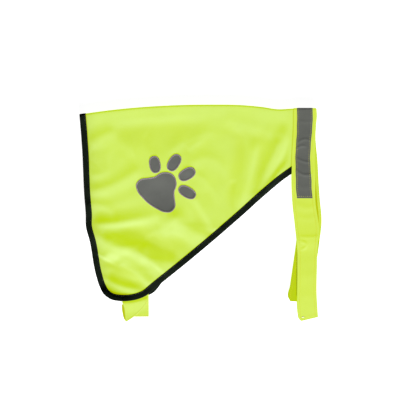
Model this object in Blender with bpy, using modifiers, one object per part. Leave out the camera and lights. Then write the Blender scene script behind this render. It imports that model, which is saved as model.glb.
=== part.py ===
"""A dog's safety vest, folded along its spine and laid flat, near half on far half.

+X runs to the neck, +Y to the spine and +Z up. Tables and sizes are in millimetres.
"""

from math import atan2, cos, degrees, exp, hypot, log1p, pi, radians, sin, sqrt, tanh

import bmesh
import bpy
import numpy
from mathutils import Vector

MM = 0.001
NEAR = "near"
FAR = "far"

# Walls, seams and the widths of sewn strips
CAPE_WALL = 1.0
BINDING_WALL = 2.0
BAND_WALL = 1.6
TAPE_WALL = 1.0
PAW_WALL = 1.0
STRAP_WALL = 1.0
HOOK_WALL = 1.0
SEAM = 0.3
TAPE_GAP = 0.45
BINDING_WIDTH = 10.4
TAPE_WIDTH = 25.4

# Heights of the near half at mid-wall: over its body, at its hem and at the spine
BODY_HEIGHT = 4.6
HEM_HEIGHT = 4.2
HEM_REACH = 30.0
SPINE_HEIGHT = 6.4
SPINE_REACH = 16.0
LEAST_HEIGHT = 2.1
LEAST_AT_HEM = 3.6
LEAST_SOFTNESS = 0.25
CAPE_ROLL = 5.5
BAND_ROLL = 4.0
NECK_BLEND_START = 136.0
NECK_BLEND_END = 149.5

# The near half rides over the belly straps at the rear lower corner
STRAP_RISE = 2.3
RISE_MIDDLE = -107.5
RISE_HALF_WIDTH = 25.0
RISE_TOP = -96.0
RISE_FADE = 28.0

# The far half lies just inside the near one, but peeks out where the diagonal starts
FAR_INSET = 1.2
FAR_PEEK = 5.0
PEEK_MIDDLE = (-79.0, -125.5)
PEEK_REACH = 16.0
FAR_SETTLE = 18.0

# Divisions
CAPE_COLUMNS = 50
ROLL_ROWS = 4
PLAIN_ROWS = {NEAR: 38, FAR: 10}
BAND_ROWS = 32
BAND_COLUMNS = 4
TAPE_ROWS = 20
PAD_CELLS = 10
TOE_CELLS = 6
CURVE_SAMPLES = 160

# Fold line of the spine: x, y
SPINE = (
    (-202.0, 162.4),
    (-143.0, 170.3),
    (-64.0, 176.7),
    (15.0, 178.7),
    (70.0, 177.7),
    (100.0, 175.0),
    (128.0, 171.1),
    (152.0, 172.2),
    (196.0, 172.6),
)

# Outer edge of the bound cape, from the spine down the rear, round the corner
# and up the diagonal to just past the neckband: x, y
OUTLINE = (
    (-199.8, 163.2),
    (-197.5, 133.7),
    (-195.4, 103.9),
    (-191.9, 28.0),
    (-189.5, -3.0),
    (-189.4, -21.4),
    (-183.3, -44.5),
    (-172.5, -102.4),
    (-166.8, -120.4),
    (-159.6, -132.8),
    (-148.0, -141.2),
    (-133.2, -144.3),
    (-118.3, -144.2),
    (-103.3, -141.4),
    (-91.6, -136.7),
    (-73.3, -122.0),
    (-13.8, -74.1),
    (65.8, -6.0),
    (114.9, 37.9),
    (136.2, 55.3),
    (149.3, 64.6),
    (166.0, 76.0),
)
REAR_SHARE = 0.44

# Neckband from its free end to the fold:
# y and x of the left edge, y and x of the right edge, mid-wall height
NEAR_BAND = (
    (-177.8, 165.4, -171.1, 193.5, 3.8),
    (-173.4, 161.1, -166.0, 193.1, 3.9),
    (-165.0, 159.4, -159.2, 192.6, 4.2),
    (-151.8, 158.4, -148.5, 191.9, 4.6),
    (-132.0, 158.6, -132.0, 191.1, 4.8),
    (-85.8, 159.1, -85.8, 191.7, 4.8),
    (-61.0, 158.9, -61.0, 192.2, 4.6),
    (-47.8, 157.9, -46.2, 193.2, 5.3),
    (-28.0, 155.9, -29.7, 194.9, 4.7),
    (21.4, 150.6, 21.4, 190.6, 4.6),
    (64.3, 149.3, 64.3, 188.6, 5.1),
    (90.8, 150.0, 90.8, 187.6, 4.8),
    (117.1, 151.6, 117.1, 188.3, 5.4),
    (143.5, 153.0, 143.5, 189.9, 5.5),
    (163.3, 153.3, 162.0, 191.4, 6.1),
    (172.6, 153.3, 172.6, 190.6, 6.4),
)
FAR_BAND = (
    (-145.4, 148.0, -146.2, 181.0, 0.8),
    (-140.6, 145.0, -142.7, 182.3, 0.8),
    (-118.8, 147.5, -118.8, 185.8, 0.8),
    (-87.4, 152.0, -87.4, 190.2, 0.8),
    (-51.1, 157.1, -51.1, 195.5, 0.8),
    (-8.2, 161.2, -8.2, 199.6, 0.8),
    (4.0, 160.4, 4.0, 198.7, 1.2),
    (18.0, 158.9, 18.0, 197.1, 2.1),
    (46.2, 156.6, 46.2, 195.0, 2.1),
    (87.4, 154.3, 87.4, 192.7, 2.1),
    (123.8, 151.6, 123.8, 189.6, 2.1),
    (160.0, 153.3, 160.0, 191.0, 2.1),
    (172.6, 153.3, 172.6, 190.6, 2.1),
)

# Reflective tape on the band: its free end, and its distance in from the band's
# left edge there and at the fold
TAPE_END = 24.7
TAPE_IN_AT_END = 8.1
TAPE_IN_AT_FOLD = 5.4

# Hook-and-loop strip on the inner face of the band's far end: y, left x, right x
HOOK_STRIP = (
    (-136.0, 156.6, 177.0),
    (-98.0, 156.7, 177.6),
    (-60.0, 157.6, 178.5),
)

# Folds of the near half: start, middle, end, half width, rise, lean to one side,
# share of the length over which the fold dies away
FOLDS = (
    ((-186, -16), (-112, -12), (-39, 9), 8.5, 2.6, 0.1, 0.8),
    ((-192, -24), (-126, -55), (-38, -117), 13.5, 3.9, 0.1, 0.5),
    ((-165, -102), (-136, -118), (-90, -127), 6.0, 1.5, 0.0, 0.4),
    ((146, 150), (121, 85), (81, 6), 14.0, 2.3, -0.1, 0.2),
    ((165, 123), (135, 63), (114, 36), 11.5, 2.5, 0.5, 0.3),
    ((91, 128), (72, 44), (50, -27), 9.0, 1.6, -0.2, 0.5),
    ((-185, 112), (-157, 129), (-135, 137), 9.5, 0.9, -0.1, 0.3),
    ((-193, 31), (-136, 51), (-93, 79), 9.5, 1.1, 0.0, 0.2),
    ((-198, 8), (-165, 12), (-140, -7), 9.0, 1.0, -0.2, 0.2),
    ((-55, 2), (-10, -33), (35, -49), 11.0, 1.8, -0.1, 0.5),
    ((-164, -66), (-135, -71), (-89, -101), 8.0, 1.5, 0.1, 0.5),
    ((-152, 129), (-79, 138), (31, 142), 20.0, -1.0, -0.6, 0.4),
    ((-140, -76), (-91, -108), (-72, -122), 7.5, 1.8, 0.1, 0.2),
    ((-162, -77), (-157, -61), (-142, -40), 20.0, 2.2, -0.2, 0.4),
    ((-71, -95), (-52, -90), (-40, -65), 15.0, 1.7, -0.1, 0.5),
    ((-165, -60), (-102, -56), (-81, -54), 10.5, 1.0, -0.2, 0.15),
    ((-95, -40), (-53, -61), (-35, -92), 10.0, -1.2, -0.1, 0.4),
    ((-173, -132), (-138, -148), (-101, -163), 10.5, 5.0, 0.6, 0.4),
    ((-107, -63), (-54, -78), (-9, -75), 10.5, 1.5, 0.3, 0.8),
    ((-72, -20), (-24, -1), (-3, 2), 19.0, 2.1, 0.1, 0.6),
)
SHOULDER_PLACE = 2.2
SHOULDER_SHARE = 0.3
FOLD_START = 0.2
FOLD_AT_HEM = 0.6
FOLD_HEM_REACH = 12.0
BOW_SHARES = (0.25, 0.75)

# Paw applique. Toes are a little fuller than ellipses: centre, half length, half width,
# heading.
TOE_ROUNDNESS = 2.4
PAW_TOES = (
    ((-75.4, 80.2), 14.2, 9.3, 100.0),
    ((-43.7, 83.3), 15.2, 9.5, 58.0),
    ((-22.6, 64.4), 14.9, 9.5, 30.0),
    ((-22.3, 34.7), 15.6, 9.1, -30.0),
)
# The pad is a rounded triangle about its own axis: angle off the axis and reach
PAD_CENTRE = (-67.2, 37.9)
PAD_AXIS = 52.0
PAD_RIM = (
    (0.0, 33.5),
    (28.0, 30.0),
    (60.0, 24.0),
    (84.0, 29.0),
    (100.0, 37.5),
    (114.0, 40.4),
    (130.0, 37.2),
    (150.0, 31.6),
    (180.0, 29.0),
    (210.0, 31.6),
)

# Belly strap of the far half, from its sewn end down: left y, right y
FAR_STRAP = (
    (-98.0, -98.0),
    (-145.0, -140.0),
    (-171.0, -170.8),
)
FAR_STRAP_LEFT = -126.0
FAR_STRAP_RIGHT = -85.6
FAR_STRAP_ROWS = 22

# Belly strap of the near half, from its sewn end to its slanting fold, then its tail:
# x and y of the left edge, x and y of the right edge, bow between them
NEAR_STRAP = (
    (-129.5, -98.0, -88.3, -98.0, 0.0),
    (-129.5, -116.0, -88.1, -110.0, 0.0),
    (-129.4, -145.0, -87.7, -131.0, 0.6),
    (-126.0, -156.0, -87.6, -136.0, 1.8),
    (-124.8, -168.0, -87.7, -140.0, 3.2),
    (-123.6, -178.2, -87.6, -142.6, 3.8),
)
NEAR_TAIL = (
    (-123.6, -178.2, -87.6, -142.6, 3.8),
    (-125.3, -176.2, -110.0, -150.0, 1.5),
    (-126.6, -174.4, -129.8, -150.3, -1.2),
)
NEAR_STRAP_ROWS = 20
NEAR_TAIL_ROWS = 6
STRAP_COLUMNS = 5

# Levels of the belly straps: how far they drop to the floor past the far hem, how far
# they come down inside it, and where the near strap climbs over its own tail
LAYER_GAP = 0.4
DROP_START = 0.8
DROP_LENGTH = 24.0
SEWN_START = 11.0
SEWN_LENGTH = 14.0
CLIMB_LENGTH = 6.0

# Finish of each piece: colour in sRGB, roughness
FINISHES = {
    "fluorescent_knit": ((206, 233, 95), 0.75),
    "black_binding": ((35, 43, 32), 0.7),
    "fluorescent_webbing": ((209, 230, 59), 0.7),
    "reflective_grey": ((102, 105, 99), 0.45),
    "hook_and_loop": ((204, 196, 186), 0.9),
}


def clear_scene():
    for item in list(bpy.data.objects):
        bpy.data.objects.remove(item, do_unlink=True)


def ramp(value):
    """Smooth rise from 0 to 1 as value goes from 0 to 1."""
    value = min(max(value, 0.0), 1.0)
    return value * value * (3.0 - 2.0 * value)


def curve_through(rows):
    """Smooth curve through rows of numbers, as a function of its share from 0 to 1."""
    rows = numpy.array(rows, dtype=float)
    steps = numpy.diff(rows, axis=0)
    gaps = numpy.linalg.norm(steps, axis=1)
    knots = numpy.concatenate(([0.0], numpy.cumsum(gaps)))
    slopes = steps / gaps[:, None]
    before, after = gaps[:-1, None], gaps[1:, None]
    inner = (slopes[:-1] * after + slopes[1:] * before) / (before + after)
    slopes = numpy.vstack((slopes[:1], inner, slopes[-1:]))

    def point(share):
        length = min(max(share, 0.0), 1.0) * knots[-1]
        row = int(numpy.searchsorted(knots, length, side="right")) - 1
        row = min(row, len(gaps) - 1)
        t = (length - knots[row]) / gaps[row]
        start = rows[row] * (1 + 2 * t) + slopes[row] * gaps[row] * t
        end = rows[row + 1] * (3 - 2 * t) - slopes[row + 1] * gaps[row] * (1 - t)
        return start * (1 - t) ** 2 + end * t * t

    return point


def sampled(curve, count):
    return numpy.array([curve(index / count) for index in range(count + 1)])


def nearest(line, x, y):
    """Distance to the right of a line of points, and the share where it is reached."""
    start, run = line[:-1], numpy.diff(line, axis=0)
    place = numpy.array((x, y)) - start
    t = numpy.clip((place * run).sum(axis=1) / (run * run).sum(axis=1), 0.0, 1.0)
    distances = numpy.linalg.norm(place - run * t[:, None], axis=1)
    index = int(numpy.argmin(distances))
    turn = place[index][0] * run[index][1] - place[index][1] * run[index][0]
    side = 1.0 if turn >= 0.0 else -1.0
    return distances[index] * side, (index + t[index]) / len(run)


def along_bow(start, middle, end, x, y):
    """Distance off a bowed line, and the share of it reached, from its start to its end."""
    start, middle, end = (numpy.array(point, dtype=float) for point in (start, middle, end))
    length = numpy.linalg.norm(end - start)
    ahead = (end - start) / length
    aside = numpy.array((-ahead[1], ahead[0]))
    middle_share = min(max((middle - start) @ ahead / length, BOW_SHARES[0]), BOW_SHARES[1])
    bow = (middle - start) @ aside / (middle_share * (1 - middle_share))
    place = numpy.array((x, y)) - start
    share = place @ ahead / length
    slope = bow * (1 - 2 * share) / length
    off = place @ aside - bow * share * (1 - share)
    return off / sqrt(1 + slope * slope), share


spine_line = sampled(curve_through(SPINE), CURVE_SAMPLES)
outline_curve = curve_through(OUTLINE)
outline_line = sampled(outline_curve, CURVE_SAMPLES)
band_curves = {NEAR: curve_through(NEAR_BAND), FAR: curve_through(FAR_BAND)}
band_lines = {side: sampled(band_curves[side], CURVE_SAMPLES) for side in band_curves}


def spine_y(x):
    return float(numpy.interp(x, spine_line[:, 0], spine_line[:, 1]))


def neck_x(side, y):
    """Where the cape meets the neckband's left edge."""
    line = band_lines[side]
    return float(numpy.interp(y, line[:, 0], line[:, 1])) - SEAM


def band_height(side, y):
    line = band_lines[side]
    return float(numpy.interp(y, line[:, 0], line[:, 4]))


def fold_relief(x, y):
    """Sum of the folds: a soft ridge with a low trough along each side."""
    relief = 0.0
    for start, middle, end, half_width, rise, lean, fade in FOLDS:
        off, share = along_bow(start, middle, end, x, y)
        strength = ramp(share / FOLD_START) * ramp((1 - share) / fade)
        if strength == 0.0:
            continue
        place = off / half_width
        place = abs(place / (1 + lean * tanh(place)))
        shoulder = SHOULDER_SHARE * exp(-((place - SHOULDER_PLACE) ** 2))
        relief += rise * strength * (exp(-place * place) - shoulder)
    return relief


def strap_rise(x, y):
    """Lift of the near half over the belly straps."""
    beside = abs(x - RISE_MIDDLE) - RISE_HALF_WIDTH
    above = y - RISE_TOP
    return STRAP_RISE * ramp(1 - beside / RISE_FADE) * ramp(1 - above / RISE_FADE)


def near_height(x, y):
    """Mid-wall height of the near half before it rolls over at the spine."""
    hem = abs(nearest(outline_line, x, y)[0])
    at_hem = exp(-((hem / FOLD_HEM_REACH) ** 2))
    lift = strap_rise(x, y)
    height = BODY_HEIGHT - (BODY_HEIGHT - HEM_HEIGHT) * exp(-((hem / HEM_REACH) ** 2))
    height += fold_relief(x, y) * (1 - (1 - FOLD_AT_HEM) * at_hem) + lift
    from_spine = (spine_y(x) - y) / SPINE_REACH
    height += (SPINE_HEIGHT - height) * exp(-from_spine * from_spine)
    least = LEAST_HEIGHT + (LEAST_AT_HEM - LEAST_HEIGHT + lift) * at_hem
    height = least + LEAST_SOFTNESS * log1p(exp((height - least) / LEAST_SOFTNESS))
    neck = ramp((x - NECK_BLEND_START) / (NECK_BLEND_END - NECK_BLEND_START))
    return height + (band_height(NEAR, y) - height) * neck


def rolled(side, height, far_height, below_spine, roll):
    """Height of a wall that turns over at the spine between its near and far levels."""
    middle = (height + far_height) / 2
    reach = 1 - min(max(below_spine, 0.0) / roll, 1.0)
    level = (height if side == NEAR else far_height) - middle
    return middle + level * sqrt(1 - reach * reach)


def cape_point(side, x, y, wall):
    """Mid-wall point of the cape or its binding."""
    below = spine_y(x) - y
    if side == FAR and below > CAPE_ROLL:
        return (x, y, wall / 2)
    height = rolled(side, near_height(x, y), wall / 2, below, CAPE_ROLL)
    return (x, y, height)


def edge_point(side, inset, share):
    """Point of the cape's outline, moved in by inset."""
    step = 0.5 / CURVE_SAMPLES
    place = outline_curve(share)
    run = outline_curve(share + step) - outline_curve(share - step)
    inward = numpy.array((-run[1], run[0])) / numpy.linalg.norm(run)
    if side == FAR:
        off_peek = numpy.linalg.norm(place - PEEK_MIDDLE) / PEEK_REACH
        below = 1 - exp(-max(OUTLINE[0][1] - place[1], 0.0) / FAR_SETTLE)
        inset += FAR_INSET * below - FAR_PEEK * exp(-off_peek * off_peek)
    x, y = place + inward * inset
    return numpy.array((x, min(y, spine_y(x))))


far_outline_line = sampled(lambda share: edge_point(FAR, 0.0, share), CURVE_SAMPLES)


def edge_end(side, inset):
    """Share of the outline where the edge reaches the neckband."""
    low, high = 0.8, 1.0
    for _ in range(24):
        share = (low + high) / 2
        x, y = edge_point(side, inset, share)
        if x < neck_x(side, y):
            low = share
        else:
            high = share
    return low


def roll_depths(roll):
    """Distances below the spine of the rows that turn over it, crest first."""
    return [roll * (1 - cos(pi / 2 * row / ROLL_ROWS)) for row in range(ROLL_ROWS + 1)]


def row_shares(side, length):
    """Shares of a column of the given length, close together where it turns over."""
    turn = [depth / length for depth in roll_depths(CAPE_ROLL)]
    rest = numpy.linspace(turn[-1], 1.0, PLAIN_ROWS[side] + 1)[1:]
    return turn + list(rest)


def cape_corners(side):
    """Corners of one half inside its binding: spine and hem, rear and neck."""
    inset = BINDING_WIDTH + SEAM
    end = edge_end(side, inset)
    rear_x = edge_point(side, inset, 0.0)[0]
    top_x = neck_x(side, SPINE[-1][1])
    return {
        "spine_rear": numpy.array((rear_x, spine_y(rear_x))),
        "spine_neck": numpy.array((top_x, spine_y(top_x))),
        "hem_rear": edge_point(side, inset, REAR_SHARE * end),
        "hem_neck": edge_point(side, inset, end),
    }


def cape_column(side, across, corner):
    """Points of one column of the cape from the spine to its hem."""
    inset = BINDING_WIDTH + SEAM
    end = edge_end(side, inset)
    x = corner["spine_rear"][0] * (1 - across) + corner["spine_neck"][0] * across
    top = numpy.array((x, spine_y(x)))
    hem = edge_point(side, inset, (REAR_SHARE + (1 - REAR_SHARE) * across) * end)
    points = []
    for down in row_shares(side, numpy.linalg.norm(hem - top)):
        rear = edge_point(side, inset, REAR_SHARE * end * down)
        if down == 0.0:
            rear = corner["spine_rear"]
        neck_y = corner["spine_neck"][1] * (1 - down) + corner["hem_neck"][1] * down
        neck = numpy.array((neck_x(side, neck_y), neck_y))
        spine_chord = corner["spine_rear"] * (1 - across) + corner["spine_neck"] * across
        hem_chord = corner["hem_rear"] * (1 - across) + corner["hem_neck"] * across
        place = rear * (1 - across) + neck * across
        place = place + (top - spine_chord) * (1 - down) + (hem - hem_chord) * down
        points.append(cape_point(side, place[0], place[1], CAPE_WALL))
    return points


def cape_rows():
    """One row of points for each column, from the near hem over the spine to the far."""
    corners = {side: cape_corners(side) for side in (NEAR, FAR)}
    rows = []
    for column in range(CAPE_COLUMNS + 1):
        across = column / CAPE_COLUMNS
        near = cape_column(NEAR, across, corners[NEAR])
        far = cape_column(FAR, across, corners[FAR])
        rows.append(near[::-1] + far[1:])
    return rows


def binding_side(side):
    """Rows of the binding on one half, level with the cape's own rows and columns."""
    corner = cape_corners(side)
    length = numpy.linalg.norm(corner["hem_rear"] - corner["spine_rear"])
    shares = [REAR_SHARE * down for down in row_shares(side, length)]
    for column in range(1, CAPE_COLUMNS + 1):
        shares.append(REAR_SHARE + (1 - REAR_SHARE) * column / CAPE_COLUMNS)
    rows = [[] for _ in shares]
    for part in (1.0, 0.5, 0.0):
        inset = BINDING_WIDTH * part
        end = edge_end(side, inset)
        for row, share in zip(rows, shares):
            x, y = edge_point(side, inset, share * end)
            if share == 0.0:
                x = OUTLINE[0][0] + inset
                y = spine_y(x)
            row.append(cape_point(side, x, y, BINDING_WALL))
    return rows


def binding_rows():
    """Rows of the binding from the near neck, round the rear and to the far neck."""
    return binding_side(NEAR)[::-1] + binding_side(FAR)[1:]


def band_point(side, share, across):
    """Mid-wall point of the neckband, across it from its left edge."""
    left_y, left_x, right_y, right_x, height = band_curves[side](share)
    x = left_x + (right_x - left_x) * across
    y = left_y + (right_y - left_y) * across
    top = SPINE[-1][1]
    if side == FAR and y < top - BAND_ROLL:
        return (x, y, max(height, BAND_WALL / 2))
    far_height = FAR_BAND[-1][4]
    near_level = height if side == NEAR else NEAR_BAND[-1][4]
    return (x, y, rolled(side, near_level, far_height, top - y, BAND_ROLL))


def band_shares(side, start_y, rows):
    """Shares along the band from start_y to the fold, close together where it turns."""
    line = band_lines[side]
    shares = numpy.linspace(0.0, 1.0, len(line))
    start = numpy.interp(start_y, line[:, 0], shares)
    turn = numpy.interp(SPINE[-1][1] - BAND_ROLL, line[:, 0], shares)
    plain = list(numpy.linspace(start, turn, rows + 1))
    depths = roll_depths(BAND_ROLL)[-2::-1]
    return plain + [float(numpy.interp(SPINE[-1][1] - d, line[:, 0], shares)) for d in depths]


def band_rows():
    columns = [column / BAND_COLUMNS for column in range(BAND_COLUMNS + 1)]
    rows = {}
    for side in (NEAR, FAR):
        shares = band_shares(side, -200.0, BAND_ROWS)
        rows[side] = [[band_point(side, s, across) for across in columns] for s in shares]
    return rows[NEAR] + rows[FAR][-2::-1]


def band_outward(side, share, across):
    """Direction out of the band's outer face."""
    step = 0.002
    along = numpy.subtract(
        band_point(side, min(share + step, 1.0), across),
        band_point(side, max(share - step, 0.0), across),
    )
    if share >= 1.0:
        return numpy.array((0.0, 1.0, 0.0))
    over = numpy.subtract(band_point(side, share, 0.9), band_point(side, share, 0.1))
    outward = numpy.cross(over, along)
    if side == FAR:
        outward = -outward
    return outward / numpy.linalg.norm(outward)


def tape_rows():
    """Rows of the reflective tape, moved out from the band's own points."""
    lift = BAND_WALL / 2 + TAPE_GAP + TAPE_WALL / 2
    rows = {}
    for side in (NEAR, FAR):
        rows[side] = []
        for share in band_shares(side, TAPE_END, TAPE_ROWS):
            left, right = band_point(side, share, 0.0), band_point(side, share, 1.0)
            climb = (left[1] - TAPE_END) / (SPINE[-1][1] - TAPE_END)
            inset = TAPE_IN_AT_END + (TAPE_IN_AT_FOLD - TAPE_IN_AT_END) * climb
            width = right[0] - left[0]
            row = []
            for part in (0.0, 0.5, 1.0):
                across = (inset + TAPE_WIDTH * part) / width
                outward = band_outward(side, share, across)
                row.append(band_point(side, share, across) + outward * lift)
            rows[side].append(row)
    return rows[NEAR] + rows[FAR][-2::-1]


def hook_rows():
    """Rows of the hook-and-loop strip, on the upper face of the band's far end."""
    lift = BAND_WALL / 2 + SEAM + HOOK_WALL / 2
    strip = curve_through(HOOK_STRIP)
    rows = []
    for y, left, right in sampled(strip, 8):
        height = band_height(FAR, y) + lift
        rows.append([(left, y, height), ((left + right) / 2, y, height), (right, y, height)])
    return rows


def on_panel(x, y):
    """Point of an applique, moved out from the near half."""
    step = 1.0
    height = near_height(x, y)
    slope_x = (near_height(x + step, y) - near_height(x - step, y)) / (2 * step)
    slope_y = (near_height(x, y + step) - near_height(x, y - step)) / (2 * step)
    outward = numpy.array((-slope_x, -slope_y, 1.0))
    outward /= numpy.linalg.norm(outward)
    lift = CAPE_WALL / 2 + SEAM + PAW_WALL / 2
    return numpy.array((x, y, height)) + outward * lift


def disc_rows(cells, place):
    """A round patch as a square grid bent to a circle, each point put in place."""
    rows = []
    for row in range(cells + 1):
        v = 2 * row / cells - 1
        points = []
        for column in range(cells + 1):
            u = 2 * column / cells - 1
            points.append(place(u * sqrt(1 - v * v / 2), v * sqrt(1 - u * u / 2)))
        rows.append(points)
    return rows


def toe_fullness(u, v):
    """How far a point of the unit circle moves out on a toe, whose rim is squarer."""
    power = abs(u) ** TOE_ROUNDNESS + abs(v) ** TOE_ROUNDNESS
    if power == 0.0:
        return 1.0
    return hypot(u, v) / power ** (1 / TOE_ROUNDNESS)


def toe_rows(centre, half_length, half_width, heading):
    turn = radians(heading)

    def place(u, v):
        fuller = toe_fullness(u, v)
        along, beside = u * fuller * half_length, v * fuller * half_width
        x = centre[0] + along * cos(turn) - beside * sin(turn)
        y = centre[1] + along * sin(turn) + beside * cos(turn)
        return on_panel(x, y)

    return disc_rows(TOE_CELLS, place)


def pad_rows():
    rim = [(-angle, reach) for angle, reach in PAD_RIM[:0:-1]] + list(PAD_RIM)
    rim = sampled(curve_through(rim), CURVE_SAMPLES)

    def place(u, v):
        angle = degrees(atan2(v, u))
        reach = float(numpy.interp(angle, rim[:, 0], rim[:, 1])) * hypot(u, v)
        turn = radians(PAD_AXIS + angle)
        return on_panel(PAD_CENTRE[0] + reach * cos(turn), PAD_CENTRE[1] + reach * sin(turn))

    return disc_rows(PAD_CELLS, place)


def far_strap_height(x, y):
    """Level of the far belly strap: over the far half, over its binding, on the floor."""
    beyond = nearest(far_outline_line, x, y)[0]
    half = STRAP_WALL / 2
    over_binding = BINDING_WALL + SEAM + half
    over_cape = CAPE_WALL + SEAM + half
    height = over_binding + (half - over_binding) * ramp((beyond - DROP_START) / DROP_LENGTH)
    sewn = ramp((-beyond - SEWN_START) / SEWN_LENGTH)
    return height + (over_cape - over_binding) * sewn


def near_strap_height(x, y, layer):
    """Level of the near belly strap, whose layer 0 is its tail and 1 its upper run."""
    step = STRAP_WALL + LAYER_GAP
    beyond = nearest(far_outline_line, x, y)[0]
    height = far_strap_height(x, y) + step
    return height + layer * step * ramp(beyond / CLIMB_LENGTH)


def far_strap_rows():
    rows = []
    for left_y, right_y in sampled(curve_through(FAR_STRAP), FAR_STRAP_ROWS):
        row = []
        for column in range(STRAP_COLUMNS):
            part = column / (STRAP_COLUMNS - 1)
            x = FAR_STRAP_LEFT + (FAR_STRAP_RIGHT - FAR_STRAP_LEFT) * part
            y = left_y + (right_y - left_y) * part
            row.append((x, y, far_strap_height(x, y)))
        rows.append(row)
    return rows


def bowed_row(values, layer):
    """A row across the near strap, bowed out towards its fold."""
    left, right, bow = values[:2], values[2:4], values[4]
    run = right - left
    outward = numpy.array((run[1], -run[0])) / numpy.hypot(run[0], run[1])
    row = []
    for column in range(STRAP_COLUMNS):
        part = column / (STRAP_COLUMNS - 1)
        x, y = left + run * part + outward * bow * 4 * part * (1 - part)
        row.append(numpy.array((x, y, near_strap_height(x, y, layer))))
    return row


def near_strap_rows():
    """Rows of the near strap: its upper run, the turn at its fold, and its tail."""
    upper = [bowed_row(v, 1) for v in sampled(curve_through(NEAR_STRAP), NEAR_STRAP_ROWS)]
    tail = [bowed_row(v, 0) for v in sampled(curve_through(NEAR_TAIL), NEAR_TAIL_ROWS)]
    turn = []
    for angle in (45.0, 0.0, -45.0):
        row = []
        for above, below in zip(upper[-1], tail[0]):
            radius = (above[2] - below[2]) / 2
            outward = numpy.array((sqrt(0.5), -sqrt(0.5), 0.0)) * radius * cos(radians(angle))
            rise = numpy.array((0.0, 0.0, radius * (1 + sin(radians(angle)))))
            row.append(below + outward + rise)
        turn.append(row)
    return upper + turn + tail


def make_material(name):
    colour, roughness = FINISHES[name]
    linear = [((value / 255 + 0.055) / 1.055) ** 2.4 for value in colour]
    material = bpy.data.materials.new(name)
    material.use_nodes = True
    shader = material.node_tree.nodes["Principled BSDF"]
    shader.inputs["Base Color"].default_value = (*linear, 1.0)
    shader.inputs["Roughness"].default_value = roughness
    shader.inputs["Metallic"].default_value = 0.0
    return material


def add_wall(collection, name, rows, wall, material):
    """A wall of even thickness about a grid of mid-wall points."""
    across, along = len(rows[0]) - 1, len(rows) - 1
    mesh = bpy.data.meshes.new(name)
    grid = bmesh.new()
    bmesh.ops.create_grid(grid, x_segments=across, y_segments=along, size=0.5)
    for vertex in grid.verts:
        column = round((vertex.co.x + 0.5) * across)
        row = round((vertex.co.y + 0.5) * along)
        vertex.co = [value * MM for value in rows[row][column]]
    grid.to_mesh(mesh)
    grid.free()
    mesh.materials.append(material)
    piece = bpy.data.objects.new(name, mesh)
    collection.objects.link(piece)
    shell = piece.modifiers.new("wall", "SOLIDIFY")
    shell.thickness = wall * MM
    shell.offset = 0.0
    shell.use_quality_normals = True
    return piece


def settle(collection):
    """Stand the vest on its origin, in the middle of the bottom of its box."""
    bpy.context.view_layer.update()
    depsgraph = bpy.context.evaluated_depsgraph_get()
    corners = [corner for piece in collection.objects
               for corner in piece.evaluated_get(depsgraph).bound_box]
    lowest = Vector([min(corner[axis] for corner in corners) for axis in range(3)])
    highest = Vector([max(corner[axis] for corner in corners) for axis in range(3)])
    middle = (lowest + highest) / 2
    for piece in collection.objects:
        piece.location = (-middle.x, -middle.y, -lowest.z)


def build():
    clear_scene()
    collection = bpy.data.collections.new("dog_safety_vest")
    bpy.context.scene.collection.children.link(collection)
    finish = {name: make_material(name) for name in FINISHES}
    knit, webbing = finish["fluorescent_knit"], finish["fluorescent_webbing"]
    grey = finish["reflective_grey"]

    add_wall(collection, "cape", cape_rows(), CAPE_WALL, knit)
    add_wall(collection, "binding", binding_rows(), BINDING_WALL, finish["black_binding"])
    add_wall(collection, "neckband", band_rows(), BAND_WALL, webbing)
    add_wall(collection, "reflective_tape", tape_rows(), TAPE_WALL, grey)
    add_wall(collection, "hook_strip", hook_rows(), HOOK_WALL, finish["hook_and_loop"])
    add_wall(collection, "belly_strap_far", far_strap_rows(), STRAP_WALL, webbing)
    add_wall(collection, "belly_strap_near", near_strap_rows(), STRAP_WALL, webbing)
    add_wall(collection, "paw_pad", pad_rows(), PAW_WALL, grey)
    for number, toe in enumerate(PAW_TOES, start=1):
        add_wall(collection, f"paw_toe_{number}", toe_rows(*toe), PAW_WALL, grey)
    settle(collection)


build()
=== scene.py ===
from math import cos, pi, radians, sin

import bpy
import numpy as np
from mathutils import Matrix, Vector


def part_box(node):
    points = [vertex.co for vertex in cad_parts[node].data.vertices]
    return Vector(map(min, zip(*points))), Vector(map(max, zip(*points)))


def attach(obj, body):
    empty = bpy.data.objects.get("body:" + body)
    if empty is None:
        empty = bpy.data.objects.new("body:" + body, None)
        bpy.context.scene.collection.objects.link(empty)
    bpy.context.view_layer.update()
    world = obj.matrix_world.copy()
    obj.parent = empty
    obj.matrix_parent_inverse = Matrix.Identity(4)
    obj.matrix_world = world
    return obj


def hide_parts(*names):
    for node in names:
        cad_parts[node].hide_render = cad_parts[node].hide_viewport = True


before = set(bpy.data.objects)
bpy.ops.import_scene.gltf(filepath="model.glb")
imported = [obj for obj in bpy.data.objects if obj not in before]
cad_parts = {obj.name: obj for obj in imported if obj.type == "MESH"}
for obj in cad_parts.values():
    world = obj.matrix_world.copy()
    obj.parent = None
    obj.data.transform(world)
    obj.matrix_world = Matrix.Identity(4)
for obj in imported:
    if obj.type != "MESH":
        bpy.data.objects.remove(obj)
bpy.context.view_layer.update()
mm = 0.001

# The tables below are in millimetres on the cutting table, +X to the neck and +Y to the
# spine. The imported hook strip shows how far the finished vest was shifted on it.
hookStripCorner = (156.6, -136.0)
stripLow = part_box("hook_strip")[0]
tableShift = np.array((stripLow.x / mm - hookStripCorner[0], stripLow.y / mm - hookStripCorner[1], 0.0))
print("frame loaded, table shift", tableShift.round(3))


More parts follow.
